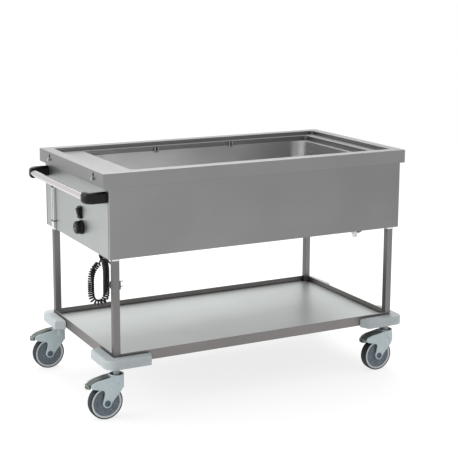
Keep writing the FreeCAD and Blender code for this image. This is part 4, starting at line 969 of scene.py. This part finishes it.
        reach = (np.abs(np.cos(around)) ** 3 + np.abs(np.sin(around)) ** 3) ** (-1 / 3)
        y = (17.2 * reach + wire * np.cos(tube)) * np.cos(around)
        z = 66 + (6.6 * reach + wire * np.cos(tube)) * np.sin(around)
        x = -72.4 + wire * np.sin(tube) + 5.6 * (y / 18) ** 4
        points = np.stack([x, y, z], axis=-1).reshape(-1, 3) * MM + self.axle
        faces = grid_faces(steps, sides, close_rows=True, close_columns=True)
        # The rim's lighter grey is a painted highlight on the lip's edge.
        self.shape(f"pedal_rim_{self.corner}", (points, faces), "polyamide_lip_painted_highlight",
                   f"pedal_{self.corner}", "pedal_grey")

    def build(self) -> None:
        """Make the castor's pieces in order."""
        self.roll_wheel()
        self.press_tyre()
        self.fit_axle()
        self.mould_housing()
        self.seat_neck()
        self.mould_pedal()


# ------------------------------------------------------------------- controls
@dataclass
class Controls(SubAssembly):
    """Thermostat knob and rocker switch on the control panel. Lengths in millimetres.

    Attributes:
        skirt_radius: Radius of the knob's skirt.
        grip_radius: Radius of its grip.
        depth: How far its face stands out.
        flutes: Number of grooves round the grip.
        flute_depth: Depth of a groove.
        rocker_half: Half width and half height of the rocker.
        rocker_low: How far its lower end stands out of the bezel.
        rocker_rise: How much further its upper end stands out.
    """

    skirt_radius: float = 26.0
    grip_radius: float = 24.3
    depth: float = 26.0
    flutes: int = 18
    flute_depth: float = 0.7
    rocker_half: tuple[float, float] = (9.6, 17.0)
    rocker_low: float = 1.5
    rocker_rise: float = 7.5

    def turn_knob(self) -> None:
        """Build the fluted knob: a turned dome whose grip is cut by a cosine round the axis."""
        low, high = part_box("thermostat_knob")
        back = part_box("control_panel")[0].x - 0.001
        centre = np.array([back, (low.y + high.y) / 2, (low.z + high.z) / 2])
        half = [(0.0, 0.0), (self.skirt_radius, 0.0), (self.skirt_radius, 4.5), (self.grip_radius + 0.6, 6.5),
                (self.grip_radius, 8.0), (self.grip_radius - 0.8, self.depth - 5.0),
                (self.grip_radius - 4.5, self.depth), (0.0, self.depth + 0.6)]
        profile = rounded(half, 3.2, steps=6, closed=False) * [1, -1]
        segments = 216
        points, faces = lathe(profile, np.zeros(3), 0, segments, closed=False)
        points = points.reshape(len(profile), segments, 3)
        turn = np.arange(segments) * 2 * math.pi / segments
        share = np.interp(-profile[:, 1], [6.5, 9.0, self.depth - 5.0, self.depth - 1.0], [0, 1, 1, 0])
        wave = 0.5 + 0.5 * np.cos(self.flutes * turn)
        groove = 1 - self.flute_depth / self.grip_radius * share[:, None] * wave
        points[:, :, 1:] *= groove[:, :, None]
        self.shape("knob_grip", (points.reshape(-1, 3) + centre, faces), "polyamide_black", "knob",
                   "black_plastic", replaces=("thermostat_knob",))
        face = np.array([centre[0] - (self.depth + 0.2) * MM, centre[1], centre[2]])
        self.bar("knob_ridge", face, (2.4, 16.5, 3.4), "polyamide_black")
        tick = face + np.array([-1.9, -10.0, 0.0]) * MM
        self.bar("knob_pointer", tick, (0.7, 5.6, 0.9), "print_white")

    def bar(self, name: str, centre: np.ndarray, half: tuple[float, float, float], finish: str) -> None:
        """Add a soft bar to the knob: |x|^3 + |y|^3 + |z|^3 = 1, stretched to its half sizes.

        Args:
            name: The piece's name.
            centre: Its middle in metres.
            half: Its half sizes in millimetres.
            finish: Its finish.
        """
        rows, columns = 25, 48
        around = np.linspace(0, 2 * math.pi, columns, endpoint=False)
        rise = np.linspace(-math.pi / 2, math.pi / 2, rows)

        def power(wave: np.ndarray) -> np.ndarray:
            """Square the wave's shoulders: its sign times its 2/3 power."""
            return np.sign(wave) * np.abs(wave) ** (2 / 3)

        x = power(np.sin(rise))[:, None] * np.ones(columns)[None]
        y = power(np.cos(rise))[:, None] * power(np.cos(around))[None]
        z = power(np.cos(rise))[:, None] * power(np.sin(around))[None]
        points = np.stack([x, y, z], axis=-1).reshape(-1, 3) * np.array(half) * MM + centre
        self.shape(name, (points, grid_faces(rows, columns, close_columns=True)), finish, "knob",
                   "black_plastic", replaces=("thermostat_knob",))

    def mould_rocker(self) -> None:
        """Build the rocker under its splash cover: a pillow that stands out further at the top.

        Its height over u and v is (low + rise (1 + v)/2) sqrt(s) + 5 s, with the
        swell s the root of (1 - u^4)(1 - v^6).
        """
        low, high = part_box("switch_housing")
        bezel = low.x / MM
        y0 = (low.y + high.y) / 2 / MM
        z0 = (low.z + high.z) / 2 / MM
        rows, columns = 37, 25
        u, v = np.meshgrid(np.sin(np.linspace(-math.pi / 2, math.pi / 2, columns)),
                           np.sin(np.linspace(-math.pi / 2, math.pi / 2, rows)))
        swell = np.sqrt((1 - u ** 4).clip(0) * (1 - v ** 6).clip(0))
        out = (self.rocker_low + self.rocker_rise * (1 + v) / 2) * np.sqrt(swell) + 5.0 * swell
        half_width, half_height = self.rocker_half
        top = np.stack([bezel + 3.0 - out, y0 + half_width * u, z0 + half_height * v], axis=-1)
        points = top.reshape(-1, 3)
        rim = np.concatenate([
            np.arange(columns), columns - 1 + columns * np.arange(1, rows),
            (rows - 1) * columns + np.arange(columns - 2, -1, -1), columns * np.arange(rows - 2, 0, -1),
        ])
        back = points[rim] + np.array([6.0, 0.0, 0.0])
        joined = np.concatenate([points, back])
        ring = np.arange(len(rim))
        onward = (ring + 1) % len(rim)
        wall = np.stack([rim, rim[onward], len(points) + onward, len(points) + ring], axis=1)
        floor = list(range(len(points), len(joined)))
        faces = grid_faces(rows, columns).tolist() + wall.tolist() + [floor]
        self.shape("rocker_cover", (joined * MM, faces), "polycarbonate_black_gloss", "rocker",
                   "black_plastic", replaces=("switch_rocker",))

    def build(self) -> None:
        """Make the knob and the rocker."""
        self.turn_knob()
        self.mould_rocker()


# ----------------------------------------------------------------- small trim
@dataclass
class Trim(SubAssembly):
    """Weld collars, sealed joints, strainer, and the gland's and plug's mouldings.

    Lengths are in millimetres.

    Attributes:
        collar_half: Half of a weld collar's side.
        collar_height: Its height.
        strainer_radius: Radius of the strainer over the drain.
        strainer_inset: Distance of its middle from the drain pipe's left end.
        boot_ribs: Number of ribs on each cord boot.
        bead_half: Half the width of the sealed joint at the casing's left corners.
    """

    collar_half: float = 14.2
    collar_height: float = 9.0
    strainer_radius: float = 21.0
    strainer_inset: float = 24.0
    boot_ribs: int = 5
    bead_half: float = 1.3

    def weld_collars(self) -> None:
        """Loft the ground collar round the top of each post."""
        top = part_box("front_panel")[0].z
        for corner in CORNERS:
            post = middle_of(f"post_{corner}")
            levels = [(self.collar_half, -0.3), (self.collar_half, -self.collar_height + 2.5),
                      (12.7, -self.collar_height), (12.6, -0.3)]
            loops = [(square_loop(half, 2.6), level) for half, level in levels]
            rows = np.stack([np.column_stack([loop, np.full(len(loop), level)]) for loop, level in loops])
            points = rows.reshape(-1, 3) * MM + np.array([post[0], post[1], top])
            faces = grid_faces(*rows.shape[:2], close_rows=True, close_columns=True)
            self.shape(f"weld_collar_{corner}", (points, faces), "stainless_polished", "root", "satin_steel")

    def seal_joints(self) -> None:
        """Lay a dark bead in the upright joint between the control panel and each long panel."""
        panel_low, panel_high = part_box("control_panel")
        for name, y in (("front", panel_low.y), ("rear", panel_high.y)):
            loop = square_loop(self.bead_half, 0.8)
            ends = [panel_low.z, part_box("top_frame")[0].z]
            bead = loop * [0.35, 1] * MM
            rows = np.stack([np.column_stack([bead, np.full(len(bead), end)]) for end in ends])
            skin = capped_rows(rows + np.array([panel_low.x, y, 0.0]))
            self.shape(f"sealed_joint_{name}", skin, "rubber_seal_black", "root", "satin_steel")

    def press_strainer(self) -> None:
        """Press the strainer: a flat dome with three rings of slots left out of its polar grid."""
        low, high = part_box("drain_pipe")
        centre = np.array([low.x + self.strainer_inset * MM, (low.y + high.y) / 2, high.z + 0.0004])
        radii = np.array([0.5, 3.5, 6.5, 9.0, 11.5, 14.0, 16.5, 19.0, self.strainer_radius])
        profile = np.stack([radii, 1.8 * (1 - (radii / self.strainer_radius) ** 2)], axis=1)
        segments = 72
        points, quads = lathe(profile, centre, 2, segments, closed=False)
        ring = quads[:, 0] // segments
        step = quads[:, 0] % segments
        open_slot = np.isin(ring, (1, 3, 5)) & (step % 9 < 6)
        piece = self.shape("drain_strainer", (points, quads[~open_slot]), "stainless_polished", "root",
                           "satin_steel")
        wall = piece.modifiers.new("sheet", "SOLIDIFY")
        wall.thickness = 0.8 * MM

    def ribbed_boot(
        self, radius_top: float, radius_tip: float, length: float
    ) -> list[tuple[float, float]]:
        """Profile of a ribbed strain relief: a taper with a half wave for each rib.

        Args:
            radius_top: Radius at its root.
            radius_tip: Radius at its tip.
            length: Its length.

        Returns:
            Radius and place below the root, from the root to the tip.
        """
        place = np.linspace(0, length, self.boot_ribs * 8 + 1)
        wave = np.abs(np.sin(place / length * self.boot_ribs * math.pi)) ** 0.6
        radius = radius_top + (radius_tip - radius_top) * place / length - 0.9 + 0.9 * wave
        return list(zip(radius.tolist(), (-place).tolist()))

    def screw_gland(self) -> None:
        """Turn the gland: a hexagonal nut over a ribbed boot."""
        low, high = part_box("cable_gland")
        centre = np.array([(low.x + high.x) / 2, (low.y + high.y) / 2, high.z])
        nut_height = 6.0
        nut = [(0.0, 0.0), (10.8, 0.0), (10.8, -5.2), (9.9, -nut_height), (0.0, -nut_height)]
        self.turn("gland_nut", nut, centre, 2, "polyamide_black", "root", "black_plastic", closed=False,
                  segments=6, replaces=("cable_gland",), auto_smooth_deg=20.0)
        length = (high.z - low.z) / MM - nut_height
        boot = [(0.0, 0.0)] + self.ribbed_boot(9.0, 5.2, length) + [(0.0, -length)]
        root = centre - np.array([0.0, 0.0, nut_height * MM])
        self.turn("gland_boot", boot, root, 2, "polyamide_black", "root", "black_plastic", closed=False,
                  segments=48, replaces=("cable_gland",))

    def mould_plug(self) -> list[bpy.types.Object]:
        """Turn the angled plug: a ringed body along X under a ribbed neck.

        Returns:
            The plug's pieces.
        """
        low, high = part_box("plug_body")
        radius = (high.y - low.y) / 2 / MM
        depth = (high.x - low.x) / MM
        centre = np.array([high.x, (low.y + high.y) / 2, low.z + radius * MM])
        groove = radius - 1.4
        half = [(0.0, 0.0), (radius - 0.6, 0.0), (radius, -1.5), (radius, -7.0), (groove, -8.0),
                (groove, -10.0), (radius, -11.0), (radius, -14.0), (groove, -15.0), (groove, -17.0),
                (radius, -18.0), (radius - 1.0, -24.0), (radius - 6.0, -depth), (0.0, -depth)]
        body = self.turn("plug_shell", rounded(half, 2.0, closed=False), centre, 0, "polyamide_black", "root",
                         "black_plastic", closed=False, replaces=("plug_body",))
        length = (high.z - low.z) / MM - 2 * radius + 4.0
        ribs = [(r, length + place) for r, place in self.ribbed_boot(5.2, 8.6, length)]
        neck = [(0.0, length)] + ribs + [(0.0, 0.0)]
        root = np.array([(low.x + high.x) / 2, centre[1], high.z - length * MM])
        boot = self.turn("plug_neck", neck, root, 2, "polyamide_black", "root", "black_plastic",
                         closed=False, segments=48, replaces=("plug_body",))
        return [body, boot]

    def build(self) -> None:
        """Make the collars, the joints, the strainer and the gland."""
        self.weld_collars()
        self.seal_joints()
        self.press_strainer()
        self.screw_gland()


# ----------------------------------------------------------------------- cord
@dataclass
class SupplyCord(SubAssembly):
    """The curly supply cord, from the gland under the casing to the plug.

    Attributes:
        wire_radius: Radius of the cord.
        curl_radius: Radius of a curl, at the cord's middle.
        curl_spacing: Distance of neighbouring curls on the inner side of a bend.
        first_ramp: Length over which the curls grow.
        last_ramp: Length over which they fade.
        tail: Length without curls before the plug.
        loop_outside: How far the hanging loop reaches beyond the control panel.
        loop_inside: How far it reaches inwards.
        loop_drop: How far it hangs below the casing.
        points_per_curl: Points of the cord's own line for each curl.
    """

    wire_radius: float = 0.0032
    curl_radius: float = 0.0094
    curl_spacing: float = 0.0073
    first_ramp: float = 0.022
    last_ramp: float = 0.030
    tail: float = 0.072
    loop_outside: float = 0.016
    loop_inside: float = 0.035
    loop_drop: float = 0.188
    points_per_curl: int = 16

    def route(self) -> np.ndarray:
        """Points that steer the middle line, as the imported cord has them.

        Returns:
            One point in each row.
        """
        gland = middle_of("cable_gland")
        gland_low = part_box("cable_gland")[0].z
        plug = middle_of("plug_body")
        plug_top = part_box("plug_body")[1].z
        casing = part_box("control_panel")[0]
        lead = 2 * self.wire_radius

        def hung(inward: float, beside: float, drop: float) -> tuple[float, float, float]:
            """A point in millimetres: inward from the panel, beside the gland, below the casing."""
            return casing.x + inward * MM, gland[1] - beside * MM, casing.z - drop * MM

        head = [
            (gland[0], gland[1], gland_low),
            (gland[0], gland[1], gland_low - lead),
            (gland[0], gland[1], casing.z - 41 * MM),
            hung(10, 1, 50),
            hung(-6, 2, 64),
            hung(-17, 4, 92),
            hung(-18, 6, 129),
        ]
        radius = (self.loop_outside + self.loop_inside) / 2
        middle_x = casing.x - self.loop_outside + radius
        middle_z = casing.z - self.loop_drop + radius
        reach = radius / math.cos(math.radians(22.5))
        loop = [
            (middle_x - reach * math.cos(math.radians(45 * step)), gland[1] - (8 + 2 * step) * MM,
             middle_z - reach * math.sin(math.radians(45 * step)))
            for step in range(5)
        ]
        rest = [
            hung(36, 17, 129),
            hung(36, 19, 94),
            hung(35, 21, 62),
            hung(27, 28, 31),
            hung(17, 44, 10),
            hung(13, 65, 8),
            hung(21, 82, 20),
            (plug[0] - 2 * MM, plug[1], casing.z - 39 * MM),
            (plug[0], plug[1], plug_top + lead),
            (plug[0], plug[1], plug_top),
        ]
        return np.array(head + loop + rest)

    @staticmethod
    def nurbs(name: str, points: np.ndarray) -> bpy.types.Object:
        """A smooth open curve with the points as its poles.

        Args:
            name: Name of the curve's object.
            points: Poles, one in each row.

        Returns:
            The curve's object.
        """
        curve = bpy.data.curves.new(name, "CURVE")
        curve.dimensions = "3D"
        spline = curve.splines.new("NURBS")
        spline.points.add(len(points) - 1)
        flat = np.concatenate([points, np.ones((len(points), 1))], axis=1)
        spline.points.foreach_set("co", flat.ravel())
        spline.order_u = 3
        spline.use_endpoint_u = True
        return place_object(name, curve)

    def middle_line(self) -> np.ndarray:
        """Read the middle line from the route's own smooth curve.

        Returns:
            Closely spaced points, one in each row.
        """
        guide = self.nurbs("cord_guide", self.route())
        guide.data.resolution_u = 64
        guide.data.splines[0].resolution_u = 64
        bpy.context.view_layer.update()
        mesh = bpy.data.meshes.new_from_object(guide.evaluated_get(bpy.context.evaluated_depsgraph_get()))
        points = np.empty(len(mesh.vertices) * 3)
        mesh.vertices.foreach_get("co", points)
        bpy.data.meshes.remove(mesh)
        bpy.data.objects.remove(guide)
        return points.reshape(-1, 3)

    def ramp(self, length: np.ndarray, span: float) -> np.ndarray:
        """How far the curl has grown, from 0 to 1, at lengths along the curled stretch.

        Args:
            length: Lengths from the start of the curled stretch.
            span: The stretch's whole length.

        Returns:
            A share for each length.
        """
        return np.clip(np.minimum(length / self.first_ramp, (span - length) / self.last_ramp), 0, 1)

    def centreline(self) -> np.ndarray:
        """The cord's own line: the middle line plus a helix that grows and fades.

        The helix turns by 2 pi (1 - radius times bend) / spacing for each unit
        of the middle line, times the square of the ramp, so neighbouring curls
        keep their spacing on the inner side of a bend.

        Returns:
            Poles of the cord's curve, one in each row.
        """
        line = self.middle_line()
        steps = np.linalg.norm(np.diff(line, axis=0), axis=1)
        walked = np.concatenate([[0.0], np.cumsum(steps)])
        way = np.gradient(line, walked, axis=0)
        way /= np.linalg.norm(way, axis=1, keepdims=True)
        across = np.zeros_like(line)
        cross = np.array([0.0, 1.0, 0.0])
        for number, direction in enumerate(way):
            cross = cross - direction * (cross @ direction)
            cross /= np.linalg.norm(cross)
            across[number] = cross
        lead = 2 * self.wire_radius
        total = walked[-1]
        span = total - 2 * lead - self.tail
        fine = np.linspace(0, span, 6000)
        bend = np.linalg.norm(np.gradient(way, walked, axis=0), axis=1)
        near = np.interp(lead + fine, walked, bend)
        growth = self.ramp(fine, span) ** 2
        rate = 2 * math.pi * (1 - self.curl_radius * near) / self.curl_spacing * growth
        turned = np.concatenate([[0.0], np.cumsum((rate[1:] + rate[:-1]) / 2 * np.diff(fine))])
        turns = turned[-1] / (2 * math.pi)
        even = np.linspace(0, turned[-1], round(turns * self.points_per_curl) + 1)[1:-1]
        curled = lead + np.interp(even, turned, fine)
        head = np.linspace(0, curled[0], 6)[:-1]
        end = np.linspace(curled[-1], lead + span, 6)[1:]
        tail = np.linspace(lead + span, total - lead, 9)[1:]
        stations = np.concatenate([head, curled, end, tail, [total]])

        def sampled(rows: np.ndarray) -> np.ndarray:
            """Read at the stations what each row gives at a walked length."""
            return np.stack([np.interp(stations, walked, column) for column in rows.T], axis=1)

        place, side, forward = sampled(line), sampled(across), sampled(way)
        forward /= np.linalg.norm(forward, axis=1, keepdims=True)
        side -= forward * (side * forward).sum(axis=1, keepdims=True)
        side /= np.linalg.norm(side, axis=1, keepdims=True)
        grown = self.ramp(stations - lead, span)
        # A spline of second degree cuts inside its poles, so they stand this much further out.
        shrink = math.cos(math.pi / self.points_per_curl) ** 2 * 0.5 + 0.5
        radius = self.curl_radius / shrink * (3 * grown ** 2 - 2 * grown ** 3)
        angle = np.interp(stations - lead, fine, turned)
        lift = np.cross(forward, side)
        LOG.info("cord: %.1f curls", turns)
        sideways = side * (radius * np.cos(angle))[:, None]
        return place + sideways + lift * (radius * np.sin(angle))[:, None]

    def build(self, plug: list[bpy.types.Object]) -> bpy.types.Object:
        """Make the cord as one curve.

        Args:
            plug: Not used.

        Returns:
            The cord's object.
        """
        points = self.centreline()
        cord = self.nurbs("curly_cord", points)
        cord.data.splines[0].resolution_u = 3
        cord.data.bevel_depth = self.wire_radius
        cord.data.bevel_resolution = 3
        cord.data.use_fill_caps = True
        cord.data.materials.append(self.finishes.get("rubber_cord_black"))
        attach(cord, "root")
        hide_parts("supply_cord")
        return cord


# --------------------------------------------------------------------- studio
@dataclass
class Studio:
    """Pale floor, soft lamps and the camera of the photograph.

    Attributes:
        camera_place: Place of the camera.
        yaw_deg: Its turn from +Y towards +X.
        pitch_deg: Its dip below the horizon.
        roll_deg: Its roll.
        focal_px: Focal length in pixels of the image.
        rise_px: How far the optical axis meets the image above its middle.
        floor_half: Half of the floor's side.
        glow: Strength of the floor's own light, to the camera and in reflections.
        glow_share: Share of that light in the floor's colour there.
        fill: Level of the surround's light on the trolley.
    """

    camera_place: tuple[float, float, float] = (-2.0518, -4.0198, 1.5823)
    yaw_deg: float = 27.742
    pitch_deg: float = 10.222
    roll_deg: float = 0.293
    focal_px: float = 1169.1
    rise_px: float = 49.0
    floor_half: float = 14.0
    glow: float = 1.3
    glow_share: float = 0.58
    fill: float = 0.75

    def place_camera(self) -> None:
        """Make the camera and turn it as the photograph's edges ask."""
        data = bpy.data.cameras.new("photo_camera")
        data.sensor_width = 36.0
        data.lens = self.focal_px / IMAGE_SIDE * data.sensor_width
        data.shift_y = -self.rise_px / IMAGE_SIDE
        data.clip_end = 60.0
        camera = place_object("photo_camera", data)
        yaw, pitch, roll = (math.radians(v) for v in (self.yaw_deg, self.pitch_deg, self.roll_deg))
        level = math.cos(pitch)
        forward = Vector((math.sin(yaw) * level, math.cos(yaw) * level, -math.sin(pitch)))
        right = Vector((math.cos(yaw), -math.sin(yaw), 0.0))
        up = right.cross(forward)
        turned_right = right * math.cos(roll) + up * math.sin(roll)
        turned_up = up * math.cos(roll) - right * math.sin(roll)
        rows = Matrix((turned_right, turned_up, -forward)).transposed().to_4x4()
        camera.matrix_world = Matrix.Translation(self.camera_place) @ rows
        bpy.context.scene.camera = camera

    @staticmethod
    def seen_rays(tree: bpy.types.NodeTree) -> bpy.types.NodeSocket:
        """Tell the rays that show a surface from those that light with it.

        Args:
            tree: The node tree.

        Returns:
            An output that is 1 to the camera, in reflections and through glass.
        """
        rays = add_node(tree, "ShaderNodeLightPath").outputs
        seen = rays["Is Camera Ray"]
        for kind in ("Is Glossy Ray", "Is Transmission Ray"):
            either = add_node(tree, "ShaderNodeMath", links={0: seen, 1: rays[kind]}, operation="MAXIMUM")
            seen = either.outputs["Value"]
        return seen

    def lay_floor(self) -> None:
        """A large pale floor: white to the camera, and a soft shadow under the trolley."""
        material, tree, shader, output = blank_material("studio_floor")
        shader.inputs["Base Color"].default_value = linear("#E6E6E6")
        shader.inputs["Roughness"].default_value = 1.0
        shader.inputs["Specular IOR Level"].default_value = 0.0
        glow = add_node(tree, "ShaderNodeEmission", {"Color": (1, 1, 1, 1), "Strength": self.glow})
        share = add_node(tree, "ShaderNodeMath", {1: self.glow_share}, {0: self.seen_rays(tree)},
                         operation="MULTIPLY")
        both = {0: share.outputs["Value"], 1: shader.outputs["BSDF"], 2: glow.outputs["Emission"]}
        mixed = add_node(tree, "ShaderNodeMixShader", links=both)
        tree.links.new(mixed.outputs["Shader"], output.inputs["Surface"])
        half = self.floor_half
        mesh = bpy.data.meshes.new("studio_floor")
        corners = [(-half, -half, 0), (half, -half, 0), (half, half, 0), (-half, half, 0)]
        mesh.from_pydata(corners, [], [(0, 1, 2, 3)])
        mesh.materials.append(material)
        place_object("studio_floor", mesh)

    def light_world(self) -> None:
        """A white surround for what is seen, and a plain grey one for what lights."""
        world = bpy.data.worlds.new("studio_world")
        world.use_nodes = True
        tree = world.node_tree
        tree.nodes.clear()
        level = add_node(tree, "ShaderNodeMapRange", {"To Min": self.fill, "To Max": 1.0},
                         {"Value": self.seen_rays(tree)})
        back = add_node(tree, "ShaderNodeBackground", {"Color": (1, 1, 1, 1)},
                        {"Strength": level.outputs["Result"]})
        add_node(tree, "ShaderNodeOutputWorld", links={"Surface": back.outputs["Background"]})
        bpy.context.scene.world = world

    @staticmethod
    def hang_lamp(
        name: str,
        place: tuple[float, float, float],
        aim: tuple[float, float, float],
        size: tuple[float, float],
        watts: float,
    ) -> None:
        """Hang one soft rectangular lamp.

        Args:
            name: The lamp's name.
            place: Where it hangs.
            aim: The point that it faces.
            size: Its width and height.
            watts: Its power.
        """
        data = bpy.data.lights.new(name, "AREA")
        data.shape = "RECTANGLE"
        data.size, data.size_y = size
        data.energy = watts
        lamp = place_object(name, data)
        lamp.location = place
        lamp.rotation_euler = (Vector(aim) - Vector(place)).to_track_quat("-Z", "Y").to_euler()

    def build(self) -> None:
        """Set up the camera, the floor, the world and the lamps."""
        self.place_camera()
        self.lay_floor()
        self.light_world()
        self.hang_lamp("top_softbox", (0.6, 1.6, 3.2), (0.0, 0.0, 0.8), (3.0, 2.4), 90.0)
        self.hang_lamp("left_softbox", (-3.6, 0.6, 1.8), (0.0, 0.0, 0.5), (2.4, 2.4), 60.0)
        bpy.context.scene.view_settings.view_transform = "Standard"


# ----------------------------------------------------------------------- main
def main() -> None:
    """Build the studio, then the trolley's sub-assemblies in order."""
    logging.basicConfig(level=logging.INFO, format="%(name)s: %(message)s")
    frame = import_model()
    finishes = Finishes()
    Studio().build()
    trim = Trim(finishes)
    SupplyCord(finishes).build(trim.mould_plug())
    PackedPieces(finishes, frame).dress()
    trim.build()
    Controls(finishes).build()
    for corner in CORNERS:
        Castor(finishes, corner).build()


if __name__ == "__main__":
    main()
